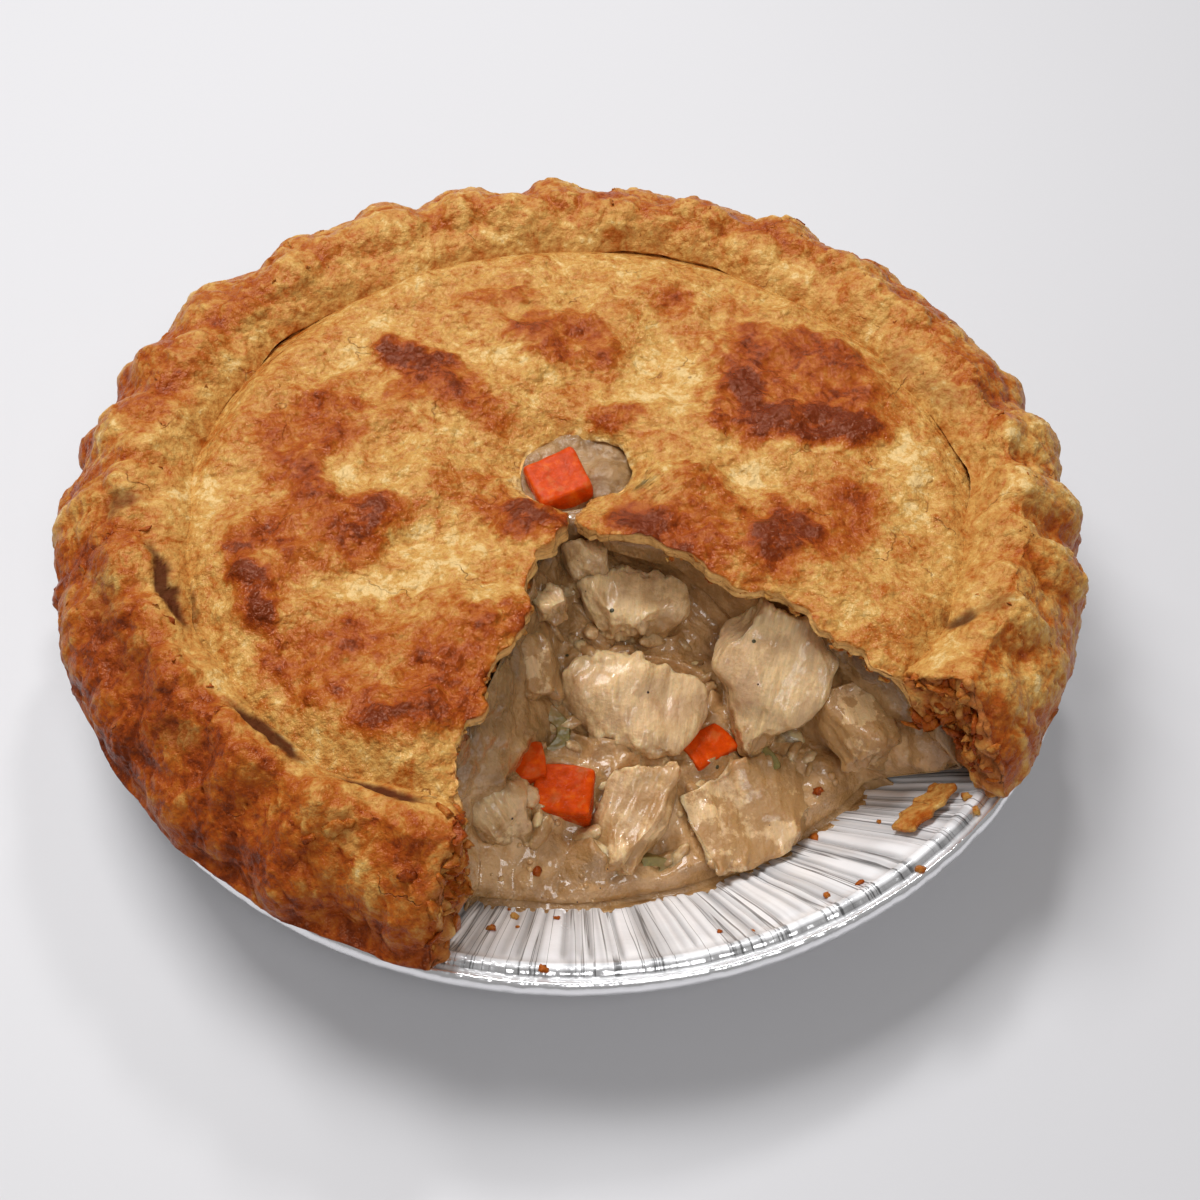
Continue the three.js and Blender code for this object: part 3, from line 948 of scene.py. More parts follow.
def tin_section(tin):
    base, mouth, rim = mm(tin.base_radius), mm(tin.mouth_radius), mm(tin.rim_radius)
    height, foil = mm(tin.height), mm(tin.foil)
    lip = height - 1.6
    outer_base = [(share * (base - 4), 0) for share in (0, 0.5, 1)]
    outer_wall = curve([(base - 2, 0), (base, 0), (base + 1.5, 1.4)], 4)
    climb = np.linspace((base + 2.6, 2.3), (mouth + foil, lip - foil), 12)
    curl = curve([(mouth + 1.3, height - 2 * foil), (rim - 2.9, height - 1.5), (rim - 2.6, height - 3.8)], 6)
    under, over = height - 4.2, height - 1.2
    roll = curve([(rim - 2.2, height - 4), (rim - 0.2, under), (rim + 0.1, over), (rim - 1.4, height)], 9)
    bead = curve([(rim - 1.8, height), (rim - 3, height - 1.1), (rim - 4.2, height)], 7)
    flange = [(mouth + 2, height), (mouth + 1.2, height - 0.05), (mouth + 0.4, lip + 0.8)]
    descent = np.linspace((mouth, lip), (base + 2, foil + 2.6), 16)
    inner_base = curve([(base + 0.9, foil + 1.3), (base - 0.6, foil), (base - 3, foil)], 4)
    middle = [(share * (base - 5), foil) for share in (1, 0.5, 0)]
    parts = (outer_base, outer_wall, climb, curl, roll, bead, flange, descent, inner_base, middle)
    return np.concatenate([np.array(part, float) for part in parts])


def flute_relief(angle, count, rng):
    """Sharp creases at uneven steps round the wall, and the heights of the panels between them."""
    edges = np.sort((np.arange(count) + rng.uniform(-0.36, 0.36, count)) / count * 2 * math.pi - math.pi)
    heights = rng.uniform(0.25, 1, count)
    widths = rng.uniform(0.0035, 0.0075, count)
    nearest = np.clip(np.searchsorted(edges, angle), 1, count - 1)
    relief = np.zeros(len(angle))
    for step in (-1, 0):
        chosen = nearest + step
        relief += heights[chosen] * np.exp(-(((angle - edges[chosen]) / widths[chosen]) ** 2))
    return relief, np.interp(angle, edges, rng.uniform(-1, 1, count))


# The crust's forms


def cut_table(line, seed):
    """Radius and angle along a cut edge, made ragged."""
    points = spaced(line, 500)
    along = np.column_stack([points, np.zeros(len(points))])
    step = np.gradient(points, axis=0)
    step /= np.linalg.norm(step, axis=1)[:, None]
    jag = JAG_DEPTH * (rough(along, 4.5, seed) + 0.5 * rough(along, 2, seed + 1))
    jag *= ease(9, 14, radius_of(points))
    points = points + jag[:, None] * np.column_stack([-step[:, 1], step[:, 0]])
    radius = np.maximum.accumulate(radius_of(points))
    return radius, np.arctan2(points[:, 1], points[:, 0])


LEFT_TABLE = cut_table(LEFT_CUT, 3)
RIGHT_TABLE = cut_table(RIGHT_CUT, 5)


def left_angle(radius):
    return np.interp(radius, LEFT_TABLE[0], LEFT_TABLE[1]) + 2 * math.pi


def right_angle(radius):
    return np.interp(radius, RIGHT_TABLE[0], RIGHT_TABLE[1])


def turn_of(points):
    """Angles from the right cut round to the left cut."""
    angle = np.arctan2(points[:, 1], points[:, 0])
    return np.where(angle < CRACK_TURN, angle + 2 * math.pi, angle)


def cut_distance(radius, angle):
    """How far places on the crust are from the nearer cut."""
    return radius * np.minimum(angle - right_angle(radius), left_angle(radius) - angle)


def vent_radius(angle):
    """Radius of the vent's edge, seen from the middle of the tin."""
    reach = np.column_stack([np.cos(angle), np.sin(angle)]) / VENT_HALF
    start = -np.array(VENT_AT) / VENT_HALF
    a = (reach**2).sum(axis=1)
    b = (reach * start).sum(axis=1)
    c = (start**2).sum() - 1
    edge = (-b + np.sqrt(b * b - a * c)) / a
    pinch = 4.6 * np.exp(-(((angle + 0.35) / 0.6) ** 2))
    edge = edge - pinch + 0.5 * np.sin(3 * angle + 0.6)
    return edge + 0.4 * np.sin(7 * angle) + 0.25 * np.sin(13 * angle + 2)


def lid_height(radius, angle):
    """Height of the lid's top, which swells, droops at the right cut and sags at the vent."""
    x, y = radius * np.cos(angle), radius * np.sin(angle)
    flat = np.interp(radius, LID_RADII, LID_HEIGHTS)
    swell = 0.8 * np.sin(x / 17 + 0.6) * np.cos(y / 21) + 0.5 * np.sin(x / 9 - y / 12)
    droop = 1.6 * np.exp(-((angle - right_angle(radius)) * radius / 7) ** 2) * ease(25, 50, radius)
    sag = 4.2 * np.exp(-np.maximum(0, radius - vent_radius(angle)) / 4.5)
    return flat + swell * (1 - ease(78, 87, radius)) - droop - sag


def between_cuts(radius, share, inset=0):
    """The angle at a share of the way round from the right cut to the left one."""
    return (right_angle(radius) + inset) * (1 - share) + (left_angle(radius) - inset) * share


def lid_sheet(row, column):
    """The lid's top, from the vent out to its edge and from one cut round to the other."""
    radius = 10 + (LID_EDGE - 10) * row
    for _ in range(10):
        angle = between_cuts(radius, column)
        inner = vent_radius(angle)
        radius = inner + (LID_EDGE - inner) * row**1.15
    return polar(radius, angle, lid_height(radius, angle))


def pale_tone(points):
    """How brown the pastry is away from its patches."""
    return 0.2 + 0.13 * rough(points, 20, 29, 2) + 0.16 * rough(points, 6, 33, 3)


def front_left(angle):
    """How far an angle lies towards the front left, from 0 to 1."""
    return np.maximum(0, np.cos(angle - FRONT_LEFT)) ** 2


def rim_section():
    """The rim's closed outline, from the seam over the crest to the foot and back under."""
    inner = curve([RIM_SEAM, (87, 45.4), (91, 50), (97, 53), RIM_CREST], 26)
    outer = curve([RIM_CREST, (120, 44), (121, RIM_FOOT[1]), RIM_FOOT], 58)
    foot = spaced([RIM_FOOT, RIM_HEEL], 6)
    under = curve([RIM_HEEL, (89, 41), RIM_SEAM], 9)
    return np.concatenate([inner[:-1], outer[:-1], foot[:-1], under])


def shape_rim(radius, height, angle, crust):
    """The crimps, lean and sag that the solid's rim has."""
    crimp_depth = mm(crust.crimp_depth)
    crimp = (0.75 + 0.25 * np.sin(3 * angle + 1)) * np.cos(crust.crimps * angle + 0.9 * np.sin(4 * angle))
    lean = 2.4 * np.sin(angle) - 2.8 * np.cos(angle) - 3.2 * front_left(angle)
    top = ease(LID_UNDERSIDE, 47, height)
    out = ease(LID_EDGE, RIM_FOOT[0], radius)
    raised = ease(RIM_FOOT[1], 36.6, height)
    height = height + out * raised * (0.5 * crimp_depth * top * crimp - 3.5 * front_left(angle))
    wander = 1.6 * np.sin(5 * angle + 1) + 0.9 * np.sin(11 * angle) + 0.5 * np.sin(23 * angle)
    wander = (1 - ease(87, 97, radius)) * wander
    return radius + out * raised * (crimp_depth * crimp + lean) + wander, height


def bent_bar(section, core, cap, row, column):
    """A section carried round the tin and closed in on its core over a share of the way at both ends:
    radius, height and the share of the way round."""
    radius, height = at_share(section, row).T
    scale = np.minimum(1, np.minimum(column, 1 - column) / cap)
    radius = core[0] + (radius - core[0]) * scale
    height = core[1] + (height - core[1]) * scale
    return radius, height, np.clip((column - cap) / (1 - 2 * cap), 0, 1)


def rim_sheet(row, column):
    """The rim as a bent bar: its section all round, closed in at both cuts."""
    radius, height, share = bent_bar(rim_section(), RIM_CORE, 0.022, row, column)
    angle = between_cuts(radius, share)
    radius, height = shape_rim(radius, height, angle, bpy.context.scene.pie_crust)
    return polar(radius, angle, height)


# The filling's forms


def slump(x, y):
    """Height of the gravy that has slumped towards the wedge's open side."""
    away = (x - SLUMP_TIP[0]) * math.cos(SLUMP_BEARING) + (y - SLUMP_TIP[1]) * math.sin(SLUMP_BEARING)
    ripple = 0.8 * np.sin(x / 4.1 + 1) * np.sin(y / 4.7)
    return np.maximum(SLUMP_HEIGHT - SLUMP_FALL * away, SLUMP_LOWEST) + ripple


def scoop(out, across):
    """The gravy's free surface, at shares of the way out and across, with steep faces at both sides."""
    left, right = at_share(SCOOP_LEFT, out), at_share(SCOOP_RIGHT, out)
    plan = left * (1 - across)[..., None] + right * across[..., None]
    side = np.minimum(np.minimum(across, 1 - across), 1.5 * out)
    steep = 1 - np.minimum(1, side / (SCOOP_FACE * (1 - 0.6 * ease(0.5, 0.85, out))))
    low = slump(plan[..., 0], plan[..., 1])
    return np.concatenate([plan, (low + (LID_UNDERSIDE - low) * steep**1.4)[..., None]], axis=-1)


def filling_reach(height):
    """Radius that the filling reaches at a height: the tin's wall, then the crust's underside."""
    return np.interp(height, (1, 28.1, 28.2, 36, 41, 43.2), (78.9, 102.6, 97, 93, 87.5, 80))


def gravy_sheet(row, column):
    """The free surface in the wedge, from under the tip to the tin's wall."""
    across = np.where(column < 0.5, 2 * column**2, 1 - 2 * (1 - column) ** 2)
    across = 0.35 * column + 0.65 * across
    samples = np.linspace(0, 1, 240)
    lines = np.linspace(0, 1, 121)
    ends = []
    for line in lines:
        track = scoop(samples, np.full(len(samples), line))
        over = radius_of(track) > filling_reach(track[:, 2])
        ends.append(samples[np.argmax(over)] if over.any() else 1)
    out = np.interp(across, lines, ends) * row**1.15
    return scoop(out, across)


def coat_of(points, at, size):
    """How much gravy clings to a piece: more towards its foot."""
    lower = ease(0.35, -0.55, (points[:, 2] - at[2]) / max(size[2], 1))
    return np.clip(0.25 + 1.3 * lower + 0.6 * rough(points, 7, 41, 2), 0, 1.6)


# Operators


class PIE_OT_tin(bpy.types.Operator):
    """Make the foil tin: a spun shell with uneven creases in its wall and a rolled rim"""

    bl_idname = "pie.tin"
    bl_label = "Foil tin"

    def execute(self, context):
        tin = context.scene.pie_tin
        piece = spun("foil_tin", tin_section(tin), TIN_STEPS)
        points = places(piece)
        radius = radius_of(points)
        angle = np.arctan2(points[:, 1], points[:, 0])
        rng = np.random.default_rng(FOIL_SEED)
        from_base = ease(*TIN_FOOT, radius)
        on_wall = from_base * (1 - ease(*TIN_MOUTH, radius))
        creases, panels = flute_relief(angle, tin.flutes, rng)
        dents = rough(points, 11, 8, 2)
        shift = on_wall * (mm(tin.flute_depth) * (1.4 * creases - 0.5 + 0.7 * panels) + 0.3 * dents)
        facing = (normals(piece)[:, :2] * points[:, :2]).sum(axis=1) / np.maximum(radius, 1)
        rolled = np.maximum(ease(*TIN_ROLL, radius), ease(0, 0.3, facing))
        ripple = rough(np.column_stack([angle * 110, radius, points[:, 2]]), (2.3, 6, 6), 9, 2)
        lip = ease(*TIN_LIP, radius)
        points[:, :2] *= (1 + (shift + 0.25 * lip * ripple) / np.maximum(radius, 1))[:, None]
        points[:, 2] += -0.6 * shift * on_wall + 0.3 * lip * ripple
        # The groove under the roll, kept for the painted shade line along it.
        groove = np.exp(-(((radius - mm(tin.rim_radius) + 3) / 0.5) ** 2))
        points[:, 2] = np.clip(points[:, 2], 0, mm(tin.height) + 0.3)
        put(piece, points)
        # Where the foil's finish paints shade along the creases and the groove.
        note(piece, "crease", np.clip(1.3 * on_wall * creases + 0.7 * groove, 0, 1))
        note(piece, "rolled", rolled)
        note(piece, "wall", from_base * (1 - ease(110, 111.5, radius)))
        note_grain(piece, polar(95, angle, 0.02 * points[:, 2]))
        finish(piece, foil_finish(), "foil", "tin")
        return {"FINISHED"}


class PIE_OT_lid(bpy.types.Operator):
    """Make the crust's lid, with its vent, cut edges, blisters and browned patches"""

    bl_idname = "pie.lid"
    bl_label = "Crust lid"

    def execute(self, context):
        crust = context.scene.pie_crust
        thickness = mm(crust.lid_thickness)
        piece = grid_piece("crust_lid", *LID_GRID, lid_sheet)
        face_up(piece)
        apply_modifier(piece, "SOLIDIFY", thickness=crust.lid_thickness, offset=-1)
        subdivide_walls(piece, 5)
        points = places(piece)
        outward = normals(piece)
        radius = radius_of(points)
        angle = turn_of(points)
        depth = lid_height(radius, angle) - points[:, 2]
        top = 1 - ease(0.15, 1.2, depth)
        from_cut = cut_distance(radius, angle)
        from_vent = radius - vent_radius(angle)
        edge = np.minimum(from_cut, from_vent)
        warp = points + 4.6 * sideways(points, 9, 21, 4) + 2.4 * sideways(points, 3, 40, 3)
        field = np.clip(patchwork(warp, LID_PATCHES), -0.5, 1.15) * (1 - 0.7 * ease(78, 84, radius))
        field *= 1 + 0.35 * rough(points, 6, 39, 4)
        patch = ease(0.15, 0.5, field)
        bubbles = blisters(points, 3.6, 31) * (0.25 + 0.75 * patch)
        lift = 0.8 * bubbles + 2.4 * rough(points, 19, 24, 2) + 1.3 * rough(points, 8, 32, 3) + 1.2 * field
        lift += 0.3 * blisters(points, 1.7, 35) * (0.3 + 0.7 * patch)
        wrinkles = np.clip(1 - 4 * np.abs(rough(points, 11, 36, 3)), 0, 1)
        lift += 0.8 * wrinkles * ease(0.3, 0.6, rough(points, 16, 37) * 0.5 + 0.5)
        curl = 1.2 * np.exp(-edge / 2.4) * rough(points, 5, 26, 2)
        points[:, 2] += top * (lift * (1 - ease(80, 87, radius)) + curl)
        points[:, 2] += depth * (0.5 + 0.2 * rough(points, 7, 38)) * np.exp(-np.maximum(edge, 0) / 5)
        layers = rough(points, (5, 5, 0.45), 27, 2) + 0.5 * rough(points, (2.5, 2.5, 0.4), 28)
        wall = (1 - top) * (1 - ease(thickness - 0.9, thickness - 0.2, depth)) * (1 - ease(2, 4, edge))
        points += outward * (0.7 * wall * layers)[:, None]
        put(piece, points)
        brown = pale_tone(points) + 0.6 * np.minimum(field, 0) + 0.2 * np.maximum(field, 0)
        brown += 0.28 * ease(0.14, 0.5, field) + 0.3 * ease(0.58, 1.05, field)
        brown += patch * (0.34 * rough(points, 5, 23, 4) + 0.12 * bubbles - 0.04)
        brown += 0.1 * np.exp(-from_cut / 1.4) - 0.16 * np.exp(-from_vent / 4)
        note(piece, "brown", np.clip(brown, 0, 1.1))
        note(piece, "cut", 0.9 * ease(0.05, 0.9, depth))
        # Scorched spots, and the painted shade of the slits, reach onto the lid at the seam.
        note(piece, "burn", 0.6 * top * np.clip(patchwork(warp, RIM_BURNS_AND_SLITS), 0, 1))
        finish(piece, crust_finish("lid_pastry", roughness=0.1, texture=1.0), "crust", "crust")
        return {"FINISHED"}


class PIE_OT_rim(bpy.types.Operator):
    """Make the crust's rolled rim, crimped, wrinkled and broken off at both cuts"""

    bl_idname = "pie.rim"
    bl_label = "Crust rim"

    def execute(self, context):
        piece = grid_piece("crust_rim", *RIM_GRID, rim_sheet)
        close_seams(piece)
        points = places(piece)
        outward = normals(piece)
        radius = radius_of(points)
        angle = turn_of(points)
        rolled = np.column_stack([angle * 105, radius, points[:, 2]])
        edge = cut_distance(radius, angle)
        cut = 1 - ease(0.3, 1.4, edge)
        under = ease(33, 30, points[:, 2])
        puffs = cobbles(rolled, (13, 15, 15), 63)
        folds = np.abs(rough(rolled, (8, 20, 20), 51, 2))
        creases = np.abs(rough(rolled, (3.4, 7, 7), 53, 2))
        peel = 2.4 * rough(rolled, (8, 6, 6), 55, 3)
        terrace = peel - np.floor(peel)
        # The slits are painted dark as the shade inside them; the spots are scorched pastry.
        burns_and_slits = np.clip(patchwork(points + 2.2 * sideways(points, 5, 66, 3), RIM_BURNS_AND_SLITS), 0, 2)
        relief = 2.6 * (puffs - 0.65) + 1.4 * (folds - 0.25) + 0.7 * (creases - 0.25) + 0.5 * (terrace - 0.5)
        relief += 0.25 * rough(rolled, 1.8, 57, 2)
        inner = ease(88, 95, radius)
        relief = (1 - cut) * (1 - 0.8 * under) * (relief * (0.2 + 0.8 * inner) - 0.5 * burns_and_slits)
        grains = cobbles(points, 3.6, 64)
        crumb = rough(points, 5, 58, 3) * 2 + 2.2 * (grains - 0.7)
        points += outward * (relief + cut * crumb)[:, None]
        put(piece, points)
        brown = 0.28 - 0.05 * np.cos(angle) + 0.28 * front_left(angle) ** 3 + 0.1 * ease(46, 36, points[:, 2])
        brown += 0.16 * rough(rolled, 14, 61, 3) + 0.16 * rough(rolled, 4, 62, 2)
        # Painted light and shade: browner along folds and creases and between puffs, paler on the puffs'
        # tops.
        brown += 0.3 * (0.28 - folds) + 0.25 * (0.25 - creases) + 0.2 * (0.5 - terrace) + 0.25 * (0.6 - puffs)
        outer = ease(90.5, 99, radius + 2.5 * rough(points, 6, 68, 2))
        brown = pale_tone(points) * (1 - outer) + brown * outer
        # The broken end's own dark brown, with painted shade: darker in the gaps between its grains, paler on
        # them.
        torn = 0.75 - 0.5 * grains + 0.25 * rough(points, 5, 65, 2)
        note(piece, "brown", np.clip(brown * (1 - cut) + torn * cut, 0.05, 1.05))
        note(piece, "cut", 0.15 * cut)
        note(piece, "burn", np.clip(0.8 * burns_and_slits, 0, 0.95))
        finish(piece, crust_finish("rim_pastry", roughness=0.28, texture=0.8), "crust", "crust")
        return {"FINISHED"}


class PIE_OT_flake(bpy.types.Operator):
    """Make the broken flake of crust on the tin's wall"""

    bl_idname = "pie.flake"
    bl_label = "Loose flake"

    def execute(self, context):
        at, (length, width, thickness), turn = FLAKE

        def sheet(row, column):
            x = (row - 0.5) * length
            outline = 1 - 0.25 * np.abs(x / length) - 0.14 * np.sin(1.3 * x + 1)
            outline -= 0.2 * (2 * np.abs(row - 0.5)) ** 6
            y = (column - 0.5) * width * outline
            z = 0.4 * np.sin(x / 2) * np.cos(y / 3)
            return np.column_stack([x, y, z])

        piece = grid_piece("loose_flake", 44, 26, sheet)
        face_up(piece)
        apply_modifier(piece, "SOLIDIFY", thickness=0.7 * thickness * MM, offset=0)
        points = places(piece)
        points[:, 2] += 0.25 * rough(points, 2.2, 71, 3)
        points += 0.35 * sideways(points, 1.5, 72, 1)
        brown = 0.22 + 0.25 * rough(points, 4, 74, 3)
        put(piece, seat(points, at, turn))
        note(piece, "brown", brown)
        note(piece, "cut", np.zeros(len(points)))
        note(piece, "burn", np.zeros(len(points)))
        finish(piece, crust_finish("flake_pastry", roughness=0.4, texture=0.8), "crust", "flake")
        return {"FINISHED"}


class PIE_OT_gravy(bpy.types.Operator):
    """Make the gravy: the slumped surface in the wedge, the body under the lid and the top in the vent"""

    bl_idname = "pie.gravy"
    bl_label = "Gravy filling"

    def execute(self, context):
        material = gravy_finish("thick_gravy", strength=1, wet=0.9)
        piece = grid_piece("gravy_in_wedge", *GRAVY_GRID, gravy_sheet)
        face_up(piece)
        points = places(piece)
        outward = normals(piece)
        wall_gap = wall_reach(points[:, 2]) - radius_of(points)
        inner = ease(0, 3, LID_UNDERSIDE - points[:, 2]) * ease(0, 2.5, wall_gap)
        chunks = cobbles(points, 9, 87) - 0.6
        lumps = 2 * chunks + 2.2 * rough(points, 8, 81, 4) + 0.6 * rough(points, 2.4, 83, 2)
        points += outward * (inner * lumps * (0.25 + 0.75 * ease(2, 7, points[:, 2])))[:, None]
        points[:, 2] += inner * (0.8 + self.cling(points)) + 1.5 * ease(40, LID_UNDERSIDE, points[:, 2])
        put(piece, inside_tin(points))
        self.close_below(piece, 27.5, FILLING_FOOT[1])
        # Painted shade: the gravy darkens as it rises under the lid.
        note(piece, "deep", ease(22, 38, places(piece)[:, 2]))
        finish(piece, material, "gravy", "filling")
        core = grid_piece("gravy_under_lid", *CORE_GRID, self.core_sheet)
        close_seams(core)
        finish(core, material, "gravy", "filling")
        vent = grid_piece("gravy_in_vent", *VENT_GRID, self.vent_sheet)
        self.close_below(vent, 36)
        # Painted shade: the vent's gravy is a darker copy of the same gravy.
        finish(vent, gravy_finish("vent_gravy", strength=0.62, wet=0.15), "gravy", "filling")
        return {"FINISHED"}

    @staticmethod
    def cling(points):
        """The gravy's rise round each piece of the filling, and its fall inside it."""
        rise = np.zeros(len(points))
        for at, size, turn, *_ in TURKEY + CARROT:
            local = (points - np.array(at)) @ turning(turn) / (np.array(size) / 2)
            reach = (np.abs(local) ** 3.6).sum(axis=1) ** (1 / 3.6) - 1
            gap = reach * min(size) / 2
            rise = np.maximum(rise, 3.4 * np.exp(-np.maximum(gap, 0) / 3))
            rise = np.where(gap < 0, 3.4 + 1.8 * np.maximum(gap, -3), rise)
        for at, size, _ in CELERY:
            apart = np.linalg.norm(points[:, :2] - at[:2], axis=1) / max(size)
            rise -= 3.4 * np.exp(-((2.2 * apart) ** 2))
        return rise

    @staticmethod
    def close_below(piece, *heights):
        """Draws the sheet's border down to each height in turn, along the tin's wall, and closes it."""
        edit(piece)
        bpy.ops.mesh.select_all(action="DESELECT")
        bpy.ops.mesh.select_non_manifold()
        for height in heights:
            bpy.ops.mesh.extrude_edges_move()
            leave_edit()
            chosen = np.empty(len(piece.data.vertices), bool)
            piece.data.vertices.foreach_get("select", chosen)
            points = places(piece)
            points[chosen, 2] = np.minimum(points[chosen, 2], height)
            radius = radius_of(points)
            by_wall = chosen & (radius > 77)
            points[by_wall, :2] *= ((wall_reach(points[:, 2]) - 0.3) / np.maximum(radius, 1))[by_wall, None]
            put(piece, points)
            bpy.ops.object.mode_set(mode="EDIT")
        bpy.ops.mesh.edge_face_add()
        bpy.ops.mesh.quads_convert_to_tris(ngon_method="CLIP")
        leave_edit()
        close_seams(piece)
        face_up(piece)

    @staticmethod
    def core_sheet(row, column):
        """The body under the lid as a bent bar, 6 mm in from both cuts."""
        base = FILLING_FOOT[1]
        section = np.concatenate(
            [
                spaced([(3, 42.6), (78, 42.3)], 24),
                curve([(80, 42), (88, 41.5), (96.5, 28.2)], 12),
                spaced([(102, 28), (77, 1.1)], 14),
                spaced([(70, base), (3, base)], 10),
                [(3, 42.6)],
            ]
        )
        radius, height, share = bent_bar(section, FILLING_CORE, 0.03, row, column)
        angle = between_cuts(radius, share, 6 / np.maximum(radius, 12))
        return polar(radius, angle, height)

    @staticmethod
    def vent_sheet(row, column):
        u, v = 2 * row - 1, 2 * column - 1
        x = VENT_AT[0] + VENT_POOL_HALF[0] * u * np.sqrt(1 - v * v / 2)
        y = VENT_AT[1] + VENT_POOL_HALF[1] * v * np.sqrt(1 - u * u / 2)
        plan = np.column_stack([x, y, np.zeros(len(x))])
        middle = 1 - np.hypot(u, v) ** 2 / 2
        lumps = 2.6 * cobbles(plan, 7, 85) + 0.9 * rough(plan, 3, 86, 3)
        return np.column_stack([x, y, VENT_POOL_TOP + middle * lumps])


def block(name, cuts):
    """A cube from -1 to 1 with its faces cut up."""
    deselect()
    bpy.ops.mesh.primitive_cube_add(size=2)
    piece = named(name)
    edit(piece)
    bpy.ops.mesh.subdivide(number_cuts=cuts)
    leave_edit()
    return piece


def lump(points, size, squareness, unevenness, seed):
    """The solids' own form: a block with rounded edges and uneven sides."""
    spread = (np.abs(points) ** squareness).sum(axis=1) ** (1 / squareness)
    x, y, z = points.T
    uneven = np.sin(2.3 * x + 1.7 * y + seed) + 0.7 * np.sin(2.9 * z - 2.1 * x + 2 * seed)
    return points * ((1 + unevenness * uneven) / spread)[:, None] * np.array(size) / 2


def faceted(points, rng, count):
    """Shaves flat faces off a lump, as a knife or a tear leaves them."""
    for _ in range(count):
        normal = rng.normal(size=3)
        normal /= np.linalg.norm(normal)
        reach = points @ normal
        limit = reach.max() * rng.uniform(0.66, 0.9)
        points = points - np.maximum(0, reach - limit)[:, None] * normal
    return points


def settle(piece, local, at, turn, index):
    """Puts a piece in its place in the tin, and keeps its own coordinates for its grain."""
    points = inside_tin(seat(local, at, turn))
    put(piece, points)
    note_grain(piece, local + 40 * index)
    return points


class PIE_OT_turkey(bpy.types.Operator):
    """Make the pieces of turkey, torn and fibrous"""

    bl_idname = "pie.turkey"
    bl_label = "Turkey"

    def execute(self, context):
        material = turkey_finish()
        for i, (at, size, turn, gravy, narrowing) in enumerate(TURKEY):
            piece = block(f"meat_{i + 1}", 48 if max(size) > 20 else 30)
            points = lump(places(piece) * MM, size, squareness=7, unevenness=0.07, seed=i + 1)
            points = faceted(points, np.random.default_rng(TURKEY_SEED + i), 6)
            along = points[:, 1] / size[1]
            points[:, 0] *= 1 - narrowing * ease(0.05, -0.5, along) - 0.2 * ease(0.2, 0.5, along)
            bend = [rough(points, 10, 90 + 3 * i + axis, 2) for axis in range(3)]
            points += 2.8 * np.column_stack(bend)
            put(piece, points)
            outward = normals(piece)
            ends = ease(0.25, 0.5, np.abs(along))
            bundles = 0.8 * (cobbles(points, (7, 16, 7), 110 + i) - 0.55)
            torn = (0.45 + 1.5 * ends) * rough(points, (2.2, 6, 2.2), 120 + i, 3)
            fibres = 0.3 * rough(points, (1, 9, 1), 130 + i, 2)
            local = points + outward * (bundles + torn + fibres)[:, None]
            points = settle(piece, local, at, turn, i)
            note(piece, "coat", coat_of(points, at, size) + gravy)
            finish(piece, material, "turkey", f"turkey_{i + 1}")
        return {"FINISHED"}


class PIE_OT_carrot(bpy.types.Operator):
    """Make the diced carrot"""

    bl_idname = "pie.carrot"
    bl_label = "Carrot"

    def execute(self, context):
        material = carrot_finish()
        for i, (at, size, turn) in enumerate(CARROT):
            piece = block(f"dice_{i + 1}", 24)
            points = lump(places(piece) * MM, size, squareness=13, unevenness=0.02, seed=i + 4)
            put(piece, points)
            local = points + normals(piece) * (0.3 * rough(points, 4, 150 + i, 2))[:, None]
            points = settle(piece, local, at, turn, i)
            note(piece, "coat", 0.35 + 0.65 * coat_of(points, at, size))
            finish(piece, material, "carrot", f"carrot_{i + 1}")
        return {"FINISHED"}


class PIE_OT_celery(bpy.types.Operator):
    """Make the slices of celery"""

    bl_idname = "pie.celery"
    bl_label = "Celery"

    def execute(self, context):
        material = celery_finish()
        for i, (at, (width, length, thickness), turn) in enumerate(CELERY):
            tip = -width / 2
            outer = curve([(tip, -length / 2), (width, 0), (tip, length / 2)], 33)
            inner = curve([(tip, -0.2 * length), (width / 4, 0), (tip, 0.2 * length)], 33)

            def sheet(row, column):
                plan = at_share(inner, row) * (1 - column)[:, None] + at_share(outer, row) * column[:, None]
                return np.column_stack([plan, np.zeros(len(row))])

            piece = grid_piece(f"slice_{i + 1}", 40, 12, sheet)
            face_up(piece)
            apply_modifier(piece, "SOLIDIFY", thickness=thickness * MM, offset=0)
            subdivide_walls(piece, 5)
            apply_modifier(piece, "BEVEL", width=0.5 * MM, segments=2, limit_method="ANGLE")
            points = places(piece)
            local = points + normals(piece) * (0.25 * rough(points, (3, 1.4, 9), 160 + i, 2))[:, None]
            points = settle(piece, local, at, turn, i)
            note(piece, "coat", coat_of(points, at, (width, length, thickness)))
            finish(piece, material, "celery", f"celery_{i + 1}")
        return {"FINISHED"}


def wedge_place(rng, inner, outer):
    """A random place in the wedge, just under the lid."""
    radius = math.sqrt(rng.uniform(inner**2, outer**2))
    start, end = left_angle(radius) - 2 * math.pi, right_angle(radius)
    angle = rng.uniform(start + 0.05, end - 0.05)
    return radius * math.cos(angle), radius * math.sin(angle), UNDER_LID


